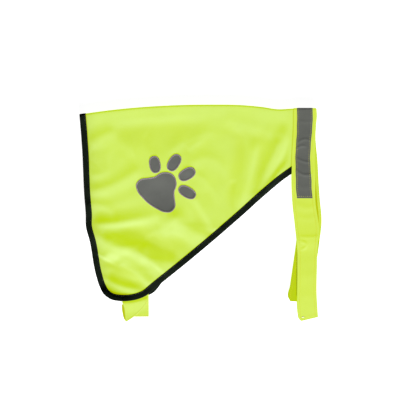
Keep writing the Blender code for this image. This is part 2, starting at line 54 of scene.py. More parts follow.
class Wire:
    def __init__(self, graph, socket):
        self.graph, self.socket = graph, socket

    def maths(self, operation, *values):
        return self.graph.node(self.graph.mathsNode, {"operation": operation}, dict(enumerate(values)))

    def __add__(self, other):
        return self.maths("ADD", self, other)

    def __radd__(self, other):
        return self.maths("ADD", other, self)

    def __sub__(self, other):
        return self.maths("SUBTRACT", self, other)

    def __rsub__(self, other):
        return self.maths("SUBTRACT", other, self)

    def __mul__(self, other):
        return self.maths("MULTIPLY", self, other)

    def __rmul__(self, other):
        return self.maths("MULTIPLY", other, self)

    def sine(self):
        return self.maths("SINE", self)

    def size(self):
        return self.maths("ABSOLUTE", self)

    def held(self, low, high):
        return self.maths("MINIMUM", self.maths("MAXIMUM", self, low), high)


class Graph:
    mathsNode = "ShaderNodeMath"

    def __init__(self, tree):
        self.tree = tree

    def node(self, kind, settings=None, sockets=None, out=0):
        made = self.tree.nodes.new(kind)
        for name, value in (settings or {}).items():
            setattr(made, name, value)
        for name, value in (sockets or {}).items():
            if isinstance(value, Wire):
                self.tree.links.new(value.socket, made.inputs[name])
            else:
                made.inputs[name].default_value = value
        return Wire(self, made.outputs[out])

    def mixed(self, factor, first, second, blend="MIX"):
        settings = {"data_type": "RGBA", "blend_type": blend}
        return self.node("ShaderNodeMix", settings, {0: factor, 6: first, 7: second}, out=2)

    def noise(self, place, scale, detail=2.0, roughness=0.5):
        sockets = {"Vector": place, "Scale": scale, "Detail": detail, "Roughness": roughness}
        return self.node("ShaderNodeTexNoise", None, sockets)


def linear(red, green, blue):       # from picture values 0 to 255
    parts = [value / 255 for value in (red, green, blue)]
    parts = [p / 12.92 if p <= 0.04045 else ((p + 0.055) / 1.055) ** 2.4 for p in parts]
    return (*parts, 1.0)


def newMaterial(name, roughness, **constants):
    made = bpy.data.materials.new(name)
    made.use_nodes = True
    tree = made.node_tree
    shader = tree.nodes["Principled BSDF"]
    shader.inputs["Roughness"].default_value = roughness
    for socket, value in constants.items():
        shader.inputs[socket.replace("_", " ")].default_value = value
    return made, Graph(tree), shader


def feed(graph, shader, **wires):
    for socket, wire in wires.items():
        graph.tree.links.new(wire.socket, shader.inputs[socket.replace("_", " ")])


def clothPlace(graph):              # across and along the cloth, in metres
    place = graph.node("ShaderNodeUVMap", {"uv_map": "cloth"})
    return (graph.node("ShaderNodeSeparateXYZ", None, {0: place}, out=0),
            graph.node("ShaderNodeSeparateXYZ", None, {0: place}, out=1), place)


def bumped(graph, height, distance):
    return graph.node("ShaderNodeBump", None, {"Strength": 1.0, "Distance": distance, "Height": height})


# paintedGlow is the dye's fluorescence, painted as a constant glow that is as bright in shade as in light;
# white is the part that the lamps light
knitLook = {
    "wale": 0.00115, "course": 0.00095,
    "white": (0.128, 0.150, 0.144, 1.0), "whiteInPaintedShade": (0.106, 0.123, 0.090, 1.0),
    "paintedGlow": (0.562, 0.760, 0.000, 1.0), "paintedGlowInShade": (0.548, 0.735, 0.000, 1.0),
    "whiteInDeepShade": (0.012, 0.012, 0.002, 1.0), "paintedGlowInDeepShade": (0.490, 0.560, 0.000, 1.0),
    "roughness": 0.78, "loopDepth": 0.00006, "patchScale": 22.0, "speckScale": 1500.0,
}
bandLook = {**knitLook, "wale": 0.0009, "course": 0.0011,
            "whiteInPaintedShade": (0.014, 0.014, 0.008, 1.0), "paintedGlowInShade": (0.520, 0.665, 0.000, 1.0),
            "white": (0.100, 0.118, 0.096, 1.0), "paintedGlow": (0.600, 0.764, 0.000, 1.0)}
strapLook = {**knitLook, "white": (0.108, 0.126, 0.104, 1.0), "paintedGlow": (0.570, 0.750, 0.000, 1.0),
             "whiteInPaintedShade": (0.024, 0.022, 0.002, 1.0), "paintedGlowInShade": (0.490, 0.560, 0.000, 1.0)}


def fluorescentCloth(name, look):
    made, graph, shader = newMaterial(name, look["roughness"], Specular_IOR_Level=0.04,
                                      Emission_Strength=1.0)
    across, along, place = clothPlace(graph)
    # painted shade: this attribute darkens the cloth in folds, at seams, in tucks and where one layer lies
    # under another; above 1 it deepens to a deeper painted shade
    paintedShadeDepth = graph.node("ShaderNodeAttribute", {"attribute_name": "paintedShade"}, out=2)
    paintedShade, deepPaintedShade = paintedShadeDepth.held(0.0, 1.0), (paintedShadeDepth - 1.0).held(0.0, 1.0)
    row = along * (2 * pi / look["course"])
    column = across * (pi / look["wale"])
    loop = (column + row.sine() * 0.45).sine().size()
    knit = loop * (0.72 + (row * 0.5).sine().size() * 0.28)
    patch = graph.noise(place, look["patchScale"], 3.0)
    speck = graph.noise(place, look["speckScale"], 2.0)
    # the rim attribute is painted shade that darkens the cloth along its binding; the knit and patches are
    # the cloth's own tone
    rim = graph.node("ShaderNodeAttribute", {"attribute_name": "rim"}, out=2)
    shade = (0.90 + knit * 0.09 + (patch - 0.5) * 0.10 + (speck - 0.5) * 0.10) * (1.0 - rim)
    toneWithPaintedShade = graph.node("ShaderNodeCombineColor", None, {0: shade, 1: shade, 2: shade})
    white = graph.mixed(deepPaintedShade, graph.mixed(paintedShade, look["white"], look["whiteInPaintedShade"]), look["whiteInDeepShade"])
    paintedGlow = graph.mixed(deepPaintedShade, graph.mixed(paintedShade, look["paintedGlow"], look["paintedGlowInShade"]), look["paintedGlowInDeepShade"])
    feed(graph, shader,
         Base_Color=graph.mixed(1.0, white, toneWithPaintedShade, "MULTIPLY"),
         Emission_Color=graph.mixed(1.0, paintedGlow, toneWithPaintedShade, "MULTIPLY"),
         Normal=bumped(graph, knit + speck * 0.35, look["loopDepth"]))
    return made


bindingLook = {"rib": 0.00062, "weave": 0.0005, "ribDepth": 0.00012,
               "colour": (0.0050, 0.0085, 0.0045, 1.0), "worn": (0.0120, 0.0165, 0.0110, 1.0)}


def blackRibbon(name, look):
    made, graph, shader = newMaterial(name, 0.75, Specular_IOR_Level=0.03)
    across, along, place = clothPlace(graph)
    rib = (along * (pi / look["rib"])).sine().size()
    weave = (across * (pi / look["weave"])).sine().size()
    rough = graph.noise(place, 900.0, 3.0)
    wear = (graph.noise(place, 60.0, 4.0) * 1.7 - 0.55).held(0.0, 1.0)
    feed(graph, shader,
         Base_Color=graph.mixed(wear * 0.6 + rib * 0.2, look["colour"], look["worn"]),
         Roughness=0.66 + rough * 0.22,
         Normal=bumped(graph, rib * 0.8 + weave * 0.25 + rough * 0.4, look["ribDepth"]))
    return made


reflectiveLook = {
    "tape": {"colour": (0.054, 0.057, 0.050, 1.0), "pale": (0.072, 0.075, 0.067, 1.0), "paintedReturn": 0.066},
    "paw": {"colour": (0.058, 0.060, 0.056, 1.0), "pale": (0.080, 0.082, 0.076, 1.0), "paintedReturn": 0.078},
}


def beadedGrey(name, look):         # its beads send part of the light straight back
    # the emission is a painted glow that stands in for the light the beads send towards the lamp: painted
    # reflection
    made, graph, shader = newMaterial(name, 0.70, Specular_IOR_Level=0.04, Emission_Strength=1.0)
    _, _, place = clothPlace(graph)
    bead = graph.node("ShaderNodeTexVoronoi", None, {"Vector": place, "Scale": 2600.0})
    cloud = (graph.noise(place, 34.0, 3.0) * 1.6 - 0.35).held(0.0, 1.0)
    scuff = (graph.noise(place, 260.0, 4.0) * 2.2 - 1.0).held(0.0, 1.0)
    paintedReturnGlow = look["paintedReturn"] * (0.94 + cloud * 0.14 - scuff * 0.05)
    tones = {0: paintedReturnGlow, 1: paintedReturnGlow * 1.04, 2: paintedReturnGlow * 0.93}
    feed(graph, shader,
         Base_Color=graph.mixed(cloud, look["colour"], look["pale"]),
         Emission_Color=graph.node("ShaderNodeCombineColor", None, tones),
         Roughness=0.66 + scuff * 0.14,
         Normal=bumped(graph, (0.5 - bead).held(0.0, 0.5) + cloud * 0.3, 0.00008))
    return made


# each thread's colour and a constant painted glow that keeps it as bright in shade as in light
threadLooks = {
    "yellowThread": ((0.22, 0.19, 0.02, 1.0), (0.50, 0.50, 0.00, 1.0)),
    "tapeThread": ((0.20, 0.18, 0.03, 1.0), (0.27, 0.26, 0.00, 1.0)),
    "blackThread": ((0.014, 0.017, 0.014, 1.0), None),
    "mauveThread": ((0.170, 0.140, 0.150, 1.0), (0.120, 0.098, 0.104, 1.0)),
    "paleThread": ((0.72, 0.70, 0.66, 1.0), None),
}


def thread(name):
    colour, paintedGlow = threadLooks[name]
    made, graph, shader = newMaterial(name, 0.55)
    place = graph.node("ShaderNodeTexCoord", None, None, out=3)
    fuzz = graph.noise(place, 2600.0, 2.0)
    dark = tuple(part * 0.72 for part in colour[:3]) + (1.0,)
    feed(graph, shader, Base_Color=graph.mixed(fuzz, dark, colour),
         Normal=bumped(graph, fuzz, 0.00008))
    if paintedGlow:
        shader.inputs["Emission Color"].default_value = paintedGlow
        shader.inputs["Emission Strength"].default_value = 1.0
    return made


pileLook = {"shaded": (196, 184, 118), "lit": (226, 214, 160), "tuftDepth": 0.0005}


def pile(name):                     # the soft half of a hook-and-loop fastener
    made, graph, shader = newMaterial(name, 0.9)
    _, _, place = clothPlace(graph)
    tuft = graph.noise(place, 1100.0, 4.0, 0.7)
    tone = graph.noise(place, 90.0, 2.0)
    shaded, lit = linear(*pileLook["shaded"]), linear(*pileLook["lit"])
    feed(graph, shader, Base_Color=graph.mixed(tuft * 0.7 + tone * 0.3, shaded, lit),
         Normal=bumped(graph, tuft, pileLook["tuftDepth"]))
    return made


finish = {
    "knit": fluorescentCloth("fluorescentKnit", knitLook),
    "band": fluorescentCloth("fluorescentBand", bandLook),
    "strap": fluorescentCloth("fluorescentStrap", strapLook),
    "binding": blackRibbon("blackBinding", bindingLook),
    "tape": beadedGrey("reflectiveTapeGrey", reflectiveLook["tape"]),
    "paw": beadedGrey("reflectivePawGrey", reflectiveLook["paw"]),
    "pile": pile("fasteningPile"),
}
finish.update({name: thread(name) for name in threadLooks})
print("finishes made")


def ramp(value):
    value = np.clip(value, 0.0, 1.0)
    return value * value * (3.0 - 2.0 * value)


def curveThrough(rows):             # smooth curve through rows of numbers, by share 0 to 1
    rows = np.array(rows, float)
    steps = np.diff(rows, axis=0)
    gaps = np.linalg.norm(steps, axis=1)
    knots = np.concatenate(([0.0], np.cumsum(gaps)))
    slopes = steps / gaps[:, None]
    before, after = gaps[:-1, None], gaps[1:, None]
    inner = (slopes[:-1] * after + slopes[1:] * before) / (before + after)
    slopes = np.vstack((slopes[:1], inner, slopes[-1:]))

    def points(shares):
        length = np.clip(np.asarray(shares, float), 0.0, 1.0) * knots[-1]
        row = np.clip(np.searchsorted(knots, length, side="right") - 1, 0, len(gaps) - 1)
        gap = gaps[row][..., None]
        t = (length - knots[row])[..., None] / gap
        start = rows[row] * (1 + 2 * t) + slopes[row] * gap * t
        end = rows[row + 1] * (3 - 2 * t) - slopes[row + 1] * gap * (1 - t)
        return start * (1 - t) ** 2 + end * t * t

    return points


def sampled(curve, count):
    return curve(np.linspace(0.0, 1.0, count + 1))


def lengthAlong(line):
    return np.concatenate(([0], np.cumsum(np.linalg.norm(np.diff(line, axis=0), axis=1))))


def clothGrid(acrossLine, alongLine):       # across and along the flat cloth, from lines that lie on it
    return np.stack(np.meshgrid(lengthAlong(acrossLine), lengthAlong(alongLine)), axis=-1)


def together(*parts):
    return np.stack(parts, axis=-1)


def inScene(name, data):
    made = bpy.data.objects.new(name, data)
    bpy.context.scene.collection.objects.link(made)
    return made


def fromLine(line, x, y):           # signed distance to the right of a line, and its share
    x, y = np.asarray(x, float), np.asarray(y, float)
    best = np.full(x.shape, 1e9)
    share = np.zeros(x.shape)
    count = len(line) - 1
    for index in range(count):
        (startX, startY), (runX, runY) = line[index][:2], (line[index + 1] - line[index])[:2]
        placeX, placeY = x - startX, y - startY
        t = np.clip((placeX * runX + placeY * runY) / (runX * runX + runY * runY), 0.0, 1.0)
        distance = np.hypot(placeX - runX * t, placeY - runY * t)
        closer = distance < np.abs(best)
        side = np.where(placeX * runY - placeY * runX >= 0.0, 1.0, -1.0)
        best = np.where(closer, distance * side, best)
        share = np.where(closer, (index + t) / count, share)
    return best, share


bowShares = (0.25, 0.75)            # the middle of a bow lies between these shares of it


def alongBow(start, middle, end, x, y):     # place off a bowed line, and its share from start to end
    run = np.subtract(end, start)
    length = np.hypot(*run)
    ahead, aside = run / length, np.array((-run[1], run[0])) / length
    middleShare = np.clip(np.dot(np.subtract(middle, start), ahead) / length, *bowShares)
    bow = np.dot(np.subtract(middle, start), aside) / (middleShare * (1 - middleShare))
    offX, offY = x - start[0], y - start[1]
    share = (offX * ahead[0] + offY * ahead[1]) / length
    slope = bow * (1 - 2 * share) / length
    off = offX * aside[0] + offY * aside[1] - bow * share * (1 - share)
    return off / np.sqrt(1 + slope * slope), share


bindingWidth = 10.4
capeCut = {
    "wall": 0.8, "edgeIn": 1.3, "neckTuck": 3.0, "turnLength": 1.4,
    "bodyHeight": 4.6, "hemHeight": 4.2, "hemReach": 30.0, "foldHeight": 6.4, "foldReach": 16.0,
    "leastHeight": 2.1, "leastAtHem": 3.6, "soft": 0.25, "roll": 2.6, "rearShare": 0.44,
    "neckStart": 136.0, "neckEnd": 149.5, "farNeckStart": 118.0, "farNeckEnd": 150.0,
    "columns": 188, "rollRows": 7, "nearRows": 166, "farRows": 44,
}
spinePoints = (
    (-202.0, 162.4), (-143.0, 170.3), (-64.0, 176.7), (15.0, 178.7), (70.0, 177.7),
    (100.0, 175.0), (128.0, 171.1), (152.0, 172.2), (196.0, 172.6),
)
outlinePoints = (
    (-199.8, 163.2), (-197.5, 133.7), (-195.4, 103.9), (-191.9, 28.0), (-189.5, -3.0),
    (-189.4, -21.4), (-183.3, -44.5), (-172.5, -102.4), (-166.8, -120.4), (-159.6, -132.8),
    (-148.0, -141.2), (-133.2, -144.3), (-118.3, -144.2), (-103.3, -141.4), (-91.6, -136.7),
    (-73.3, -122.0), (-13.8, -74.1), (65.8, -6.0), (114.9, 37.9), (136.2, 55.3),
    (149.3, 64.6), (166.0, 76.0),
)
strapRise = {"height": 2.3, "middle": -107.5, "halfWidth": 25.0, "top": -96.0, "fade": 28.0}
farLie = {"inset": 1.2, "peek": 5.0, "peekMiddle": (-79.0, -125.5), "peekReach": 16.0, "settle": 18.0,
          "cape": 0.5, "edge": 1.0, "edgeReach": 16.0, "neck": 0.8,
          "follow": 0.2, "followMost": 4.0, "followStart": 12.0, "followFade": 24.0}
# Main folds, fitted to the photograph's shading and rounded: start, middle, end, half width,
# rise, lean, share of the length that fades out
mainFolds = (
    ((-186, -16), (-112, -12), (-39, 9), 8.5, 2.6, 0.1, 0.8),
    ((-192, -24), (-126, -55), (-38, -117), 13.5, 3.9, 0.1, 0.5),
    ((-165, -102), (-136, -118), (-90, -127), 6.0, 1.5, 0.0, 0.4),
    ((146, 150), (121, 85), (81, 6), 14.0, 2.3, -0.1, 0.2),
    ((165, 123), (135, 63), (114, 36), 11.5, 2.5, 0.5, 0.3),
    ((91, 128), (72, 44), (50, -27), 9.0, 1.6, -0.2, 0.5),
    ((-185, 112), (-157, 129), (-135, 137), 9.5, 0.9, -0.1, 0.3),
    ((-193, 31), (-136, 51), (-93, 79), 9.5, 1.1, 0.0, 0.2),
    ((-198, 8), (-165, 12), (-140, -7), 9.0, 1.0, -0.2, 0.2),
    ((-55, 2), (-10, -33), (35, -49), 11.0, 1.8, -0.1, 0.5),
    ((-164, -66), (-135, -71), (-89, -101), 8.0, 1.5, 0.1, 0.5),
    ((-152, 129), (-79, 138), (31, 142), 20.0, -1.0, -0.6, 0.4),
    ((-140, -76), (-91, -108), (-72, -122), 7.5, 1.8, 0.1, 0.2),
    ((-162, -77), (-157, -61), (-142, -40), 20.0, 2.2, -0.2, 0.4),
    ((-71, -95), (-52, -90), (-40, -65), 15.0, 1.7, -0.1, 0.5),
    ((-165, -60), (-102, -56), (-81, -54), 10.5, 1.0, -0.2, 0.15),
    ((-95, -40), (-53, -61), (-35, -92), 10.0, -1.2, -0.1, 0.4),
    ((-173, -132), (-138, -148), (-101, -163), 10.5, 5.0, 0.6, 0.4),
    ((-107, -63), (-54, -78), (-9, -75), 10.5, 1.5, 0.3, 0.8),
    ((-72, -20), (-24, -1), (-3, 2), 19.0, 2.1, 0.1, 0.6),
)
# Finer folds from the same fit, in the same columns
fineFolds = (
    ((91, 22), (116, 50), (136, 87), 5.5, 1.6, 0.2, 0.3),
    ((132, 128), (109, 73), (88, 29), 6.5, 0.9, -0.1, 0.2),
    ((-58, 97), (-14, 125), (32, 137), 7.5, 0.5, 0.1, 0.4),
    ((-32, 63), (13, 91), (51, 61), 8.5, 0.5, 0.0, 0.2),
    ((-92, 135), (-80, 113), (-50, 101), 10.0, -0.3, 0.3, 0.5),
    ((-55, -24), (-19, -43), (-2, -63), 7.0, 0.4, 0.0, 0.5),
    ((-13, 33), (14, -11), (27, -34), 7.0, 0.9, 0.2, 0.15),
    ((54, 57), (52, 20), (58, -4), 6.0, -0.7, 0.0, 0.4),
    ((21, -32), (38, -23), (31, 13), 10.0, 0.5, 0.6, 0.5),
    ((-160, 89), (-160, 104), (-106, 102), 10.5, 0.4, 0.2, 0.15),
    ((-43, 73), (0, 60), (31, 19), 5.5, 0.3, 0.0, 0.3),
    ((35, 164), (84, 149), (127, 136), 17.5, 0.7, 0.5, 0.15),
    ((-185, 61), (-168, 64), (-132, 78), 7.0, 0.7, 0.1, 0.8),
    ((-179, 78), (-181, 91), (-161, 114), 6.0, -0.5, -0.2, 0.6),
    ((59, 142), (63, 77), (50, 44), 10.0, -0.7, -0.5, 0.4),
    ((-24, 104), (-2, 119), (13, 126), 6.5, 0.6, 0.0, 0.6),
)

foldShape = {"lift": 1.10, "start": 0.17, "shoulder": 0.3, "shoulderPlace": 2.2,
             "atHem": 0.8, "hemReach": 9.0}
# Neckband from its free end to the fold: y and x of its left edge, y and x of its right, height
nearBand = (
    (-177.8, 165.4, -171.1, 193.5, 3.8), (-173.4, 161.1, -166.0, 193.1, 3.9),
    (-165.0, 159.4, -159.2, 192.6, 4.2), (-151.8, 158.4, -148.5, 191.9, 4.6),
    (-132.0, 158.6, -132.0, 191.1, 4.8), (-85.8, 159.1, -85.8, 191.7, 4.8),
    (-61.0, 158.9, -61.0, 192.2, 4.6), (-47.8, 157.9, -46.2, 193.2, 5.3),
    (-28.0, 155.9, -29.7, 194.9, 4.7), (21.4, 150.6, 21.4, 188.8, 4.6),
    (64.3, 149.3, 64.3, 188.6, 5.1), (90.8, 150.0, 90.8, 187.6, 4.8),
    (117.1, 151.6, 117.1, 188.3, 5.4), (143.5, 153.0, 143.5, 189.9, 5.5),
    (163.3, 153.3, 162.0, 191.4, 6.1), (172.6, 153.3, 172.6, 190.6, 6.4),
)
farBand = (
    (-145.4, 148.0, -146.2, 181.0, 0.8), (-140.6, 145.0, -142.7, 182.3, 0.8),
    (-118.8, 147.5, -118.8, 185.8, 0.8), (-87.4, 152.0, -87.4, 190.2, 0.8),
    (-51.1, 157.1, -51.1, 195.5, 0.8), (-8.2, 161.2, -8.2, 199.6, 0.8),
    (4.0, 160.4, 4.0, 198.7, 1.2), (18.0, 158.9, 18.0, 197.1, 2.1),
    (46.2, 156.6, 46.2, 195.0, 2.1), (87.4, 154.3, 87.4, 192.7, 2.1),
    (123.8, 151.6, 123.8, 189.6, 2.1), (160.0, 153.3, 160.0, 191.0, 2.1),
    (172.6, 153.3, 172.6, 190.6, 2.1),
)
bandCurve = {"near": curveThrough(nearBand), "far": curveThrough(farBand)}
bandLine = {side: sampled(bandCurve[side], 300) for side in bandCurve}
spineLine = sampled(curveThrough(spinePoints), 300)
outlineCurve = curveThrough(outlinePoints)
outlineSamples = 160
outlineLine = sampled(outlineCurve, outlineSamples)


def spineY(x):
    return np.interp(x, spineLine[:, 0], spineLine[:, 1])


def neckX(side, y):
    return np.interp(y, bandLine[side][:, 0], bandLine[side][:, 1])


def bandLevel(side, y):
    return np.interp(y, bandLine[side][:, 0], bandLine[side][:, 4])


def foldRelief(x, y):
    relief = np.zeros(np.shape(x))
    for start, middle, end, halfWidth, rise, lean, fade in mainFolds + fineFolds:
        off, share = alongBow(start, middle, end, x, y)
        place = off / halfWidth
        place = np.abs(place / (1 + lean * np.tanh(place)))
        strength = ramp(share / foldShape["start"]) * ramp((1 - share) / fade)
        shoulder = foldShape["shoulder"] * np.exp(-((place - foldShape["shoulderPlace"]) ** 2))
        relief += rise * strength * (np.exp(-place * place) - shoulder)
    return relief * foldShape["lift"]


def softSwell(x, y):                # slow unevenness of cloth that was folded up before
    return (0.12 * np.sin(x / 17.0 + 1.3 * np.sin(y / 29.0)) * np.sin(y / 21.0 + 0.8)
            + 0.07 * np.sin(x / 8.3 - y / 11.0 + 1.7 * np.sin(x / 31.0)))


def nearHeight(x, y):
    cut, rise = capeCut, strapRise
    hem = np.abs(fromLine(outlineLine, x, y)[0])
    hemDrop = (cut["bodyHeight"] - cut["hemHeight"]) * np.exp(-((hem / cut["hemReach"]) ** 2))
    atHem = np.exp(-((hem / foldShape["hemReach"]) ** 2))
    relief = foldRelief(x, y) * (1 - (1 - foldShape["atHem"]) * atHem)
    beside = np.abs(x - rise["middle"]) - rise["halfWidth"]
    above = y - rise["top"]
    lift = rise["height"] * ramp(1 - beside / rise["fade"]) * ramp(1 - above / rise["fade"])
    height = cut["bodyHeight"] - hemDrop + relief + lift + softSwell(x, y) * (1 - atHem)
    nearFold = np.exp(-(((spineY(x) - y) / cut["foldReach"]) ** 2))
    height = height + (cut["foldHeight"] - height) * nearFold
    least = cut["leastHeight"] + (cut["leastAtHem"] - cut["leastHeight"] + lift) * atHem
    height = least + cut["soft"] * np.logaddexp(0.0, (height - least) / cut["soft"])
    neck = ramp((x - cut["neckStart"]) / (cut["neckEnd"] - cut["neckStart"]))
    return height + (bandLevel("near", y) - height) * neck


def farHeight(x, y):
    cut, lie = capeCut, farLie
    edge = np.abs(fromLine(outlineLine, x, y)[0])
    level = lie["cape"] + (lie["edge"] - lie["cape"]) * ramp(1 - edge / lie["edgeReach"])
    follow = lie["follow"] * np.clip(foldRelief(x, y), 0.0, lie["followMost"])
    level = level + follow * ramp((edge - lie["followStart"]) / lie["followFade"])
    neck = ramp((x - cut["farNeckStart"]) / (cut["farNeckEnd"] - cut["farNeckStart"]))
    return level + (np.maximum(bandLevel("far", y), lie["neck"]) - level) * neck


def turnedOver(side, near, far, below, roll):       # height of cloth that turns over at the spine
    reach = 1 - np.clip(below / roll, 0.0, 1.0)
    middle = (near + far) / 2
    level = (near if side == "near" else far) - middle
    return middle + level * np.sqrt(np.maximum(1 - reach * reach, 0.0))


def capeSurface(side, x, y):        # middle of the cloth
    height = turnedOver(side, nearHeight(x, y), farHeight(x, y), spineY(x) - y, capeCut["roll"])
    return together(x, y, height)


def edgeLine(side, inset, share):   # points of the outline, moved in
    share = np.asarray(share, float)
    step = 0.5 / outlineSamples
    place = outlineCurve(share)
    run = outlineCurve(share + step) - outlineCurve(share - step)
    inward = together(-run[..., 1], run[..., 0]) / np.linalg.norm(run, axis=-1)[..., None]
    inset = np.full(share.shape, float(inset))
    if side == "far":
        offPeek = np.linalg.norm(place - farLie["peekMiddle"], axis=-1) / farLie["peekReach"]
        below = 1 - np.exp(-np.maximum(outlinePoints[0][1] - place[..., 1], 0.0) / farLie["settle"])
        inset = inset + farLie["inset"] * below - farLie["peek"] * np.exp(-offPeek * offPeek)
    point = place + inward * inset[..., None]
    point[..., 1] = np.minimum(point[..., 1], spineY(point[..., 0]))
    return point


def edgeEnd(side, inset, tuck):     # share at which the edge has gone tuck past the neckband's edge
    low, high = 0.8, 1.0
    for _ in range(24):
        share = (low + high) / 2
        x, y = edgeLine(side, inset, share)
        if x < neckX(side, y) + tuck:
            low = share
        else:
            high = share
    return low


def rollDepths(roll):               # depths below the spine of the rows that turn over it
    return roll * (1 - np.cos(np.linspace(0, pi / 2, capeCut["rollRows"] + 1)))


def rollShares(length, rows):       # shares down a column, close together where it turns over
    turn = rollDepths(capeCut["roll"])[:, None] / length
    rest = np.linspace(0, 1, rows + 1)[1:, None] * (1 - turn[-1]) + turn[-1]
    return np.vstack((turn, rest))


def capeHalf(side, rows):
    inset, tuck, rearShare = capeCut["edgeIn"], capeCut["neckTuck"], capeCut["rearShare"]
    end = edgeEnd(side, inset, tuck)
    across = np.linspace(0, 1, capeCut["columns"] + 1)
    rearX = outlinePoints[0][0] + inset
    topX = rearX + (neckX(side, spinePoints[-1][1]) + tuck - rearX) * across
    topLine = together(topX, spineY(topX))
    spineRear, spineNeck = topLine[0], topLine[-1]
    hem = edgeLine(side, inset, (rearShare + (1 - rearShare) * across) * end)
    down = rollShares(np.linalg.norm(hem - topLine, axis=1)[None, :], rows)
    rear = edgeLine(side, inset, rearShare * end * down)
    rear[0] = spineRear
    neckY = spineNeck[1] * (1 - down) + hem[-1][1] * down
    neck = together(neckX(side, neckY) + tuck, neckY)
    part, downPart = across[None, :, None], down[..., None]
    place = rear * (1 - part) + neck * part
    place = place + (topLine - (spineRear * (1 - part) + spineNeck * part)) * (1 - downPart)
    place = place + (hem[None] - (hem[0] * (1 - part) + hem[-1] * part)) * downPart
    return place


def turned(points, row, column):    # directions out of a grid of points, upwards at that row and column
    alongRows, alongColumns = np.gradient(points, axis=0), np.gradient(points, axis=1)
    out = np.cross(alongColumns, alongRows)
    out = out / np.maximum(np.linalg.norm(out, axis=-1), 1e-9)[..., None]
    return -out if out[row, column, 2] < 0 else out


def wallMesh(name, outer, inner, cloth, material, paintedShade=None, rim=None):
    # a closed wall between two grids of points, with cloth[row, column] = across, along
    rows, columns = outer.shape[:2]
    count = rows * columns
    points = (np.concatenate((outer.reshape(-1, 3), inner.reshape(-1, 3))) + tableShift) * mm
    grid = np.arange(count).reshape(rows, columns)
    quads = np.stack((grid[:-1, :-1], grid[:-1, 1:], grid[1:, 1:], grid[1:, :-1]), axis=-1).reshape(-1, 4)
    border = np.concatenate((grid[0, :], grid[1:, -1], grid[-1, -2::-1], grid[-2:0:-1, 0]))
    following = np.roll(border, -1)
    sides = np.stack((following, border, border + count, following + count), axis=-1)
    faces = np.concatenate((quads, quads[:, ::-1] + count, sides))
    corner = points[faces]
    volume = (np.einsum("ij,ij->i", corner[:, 0], np.cross(corner[:, 1], corner[:, 2])).sum()
              + np.einsum("ij,ij->i", corner[:, 0], np.cross(corner[:, 2], corner[:, 3])).sum())
    if volume < 0:
        faces = faces[:, ::-1]
    mesh = bpy.data.meshes.new(name)
    mesh.from_pydata(points.tolist(), [], faces.tolist())
    flat = np.concatenate((cloth.reshape(-1, 2), cloth.reshape(-1, 2))) * mm
    layer = mesh.uv_layers.new(name="cloth")
    corners = np.empty(len(mesh.loops), np.int32)
    mesh.loops.foreach_get("vertex_index", corners)
    layer.data.foreach_set("uv", flat[corners].astype(np.float32).ravel())
    # both attributes carry painted shade, at half strength on the inner face
    for attributeName, given in (("paintedShade", paintedShade), ("rim", rim)):
        shade = np.zeros(count) if given is None else given.ravel()
        attribute = mesh.attributes.new(attributeName, "FLOAT", "POINT")
        attribute.data.foreach_set("value", np.concatenate((shade, shade * 0.5)).astype(np.float32))
    mesh.materials.append(material)
    mesh.shade_smooth()
    mesh.set_sharp_from_angle(angle=radians(55))
    made = inScene(name, mesh)
    area = np.linalg.norm(np.cross(corner[:, 1] - corner[:, 0], corner[:, 3] - corner[:, 0]), axis=1)
    print(f"{name}: {len(faces) * 2} triangles, cloth about {area.sum() / 2:.4f} square metres")
    return made


def clothWall(name, middle, out, half, *rest):      # the same wall, from its middle
    return wallMesh(name, middle + out * half, middle - out * half, *rest)


def blurred(values):
    for _ in range(2):
        padded = np.pad(values, 1, mode="edge")
        values = (padded[:-2, 1:-1] + padded[2:, 1:-1] + padded[1:-1, :-2] + padded[1:-1, 2:]
                  + 4 * padded[1:-1, 1:-1]) / 8
    return values


nearPlan = capeHalf("near", capeCut["nearRows"])
farPlan = capeHalf("far", capeCut["farRows"])
nearPart = capeSurface("near", nearPlan[..., 0], nearPlan[..., 1])[::-1]
farPart = capeSurface("far", farPlan[..., 0], farPlan[..., 1])[1:]
capeMiddle = np.concatenate((nearPart, farPart))
nearX, nearY = nearPart[..., 0], nearPart[..., 1]
clothAlong = np.concatenate((spineY(nearX) - nearY, farPart[..., 1] - spineY(farPart[..., 0])))
turnShare = np.minimum(np.abs(clothAlong) / capeCut["roll"], 1.0)
clothAlong = clothAlong + np.sign(clothAlong) * capeCut["turnLength"] * turnShare
# Painted shade in the cloth's colour: in folds, at seams, in the tuck at the lower corner and along
# the binding. rearY, rearX and rimX are where a painted shade starts and how far it takes, the tuck's
# pairs are x and y, and the rims' are a tone and its reach.
paintedCapeShade = {
    "foldDepth": 1.5, "seam": 1.7, "seamStart": 0.6, "seamWidth": 1.8,
    "rear": 1.5, "rearWidth": 1.9, "rearY": (40.0, 60.0), "rearX": (-176.0, 6.0),
    "tuck": 1.8, "tuckWidth": 2.6, "tuckEdge": 1.6, "tuckMiddle": (-135.0, -128.0), "tuckReach": (16.0, 14.0),
    "rimX": (-120.0, 40.0), "rearRim": (0.14, 9.0), "otherRim": (0.06, 4.0), "rimInPaintedShade": 2.5,
}


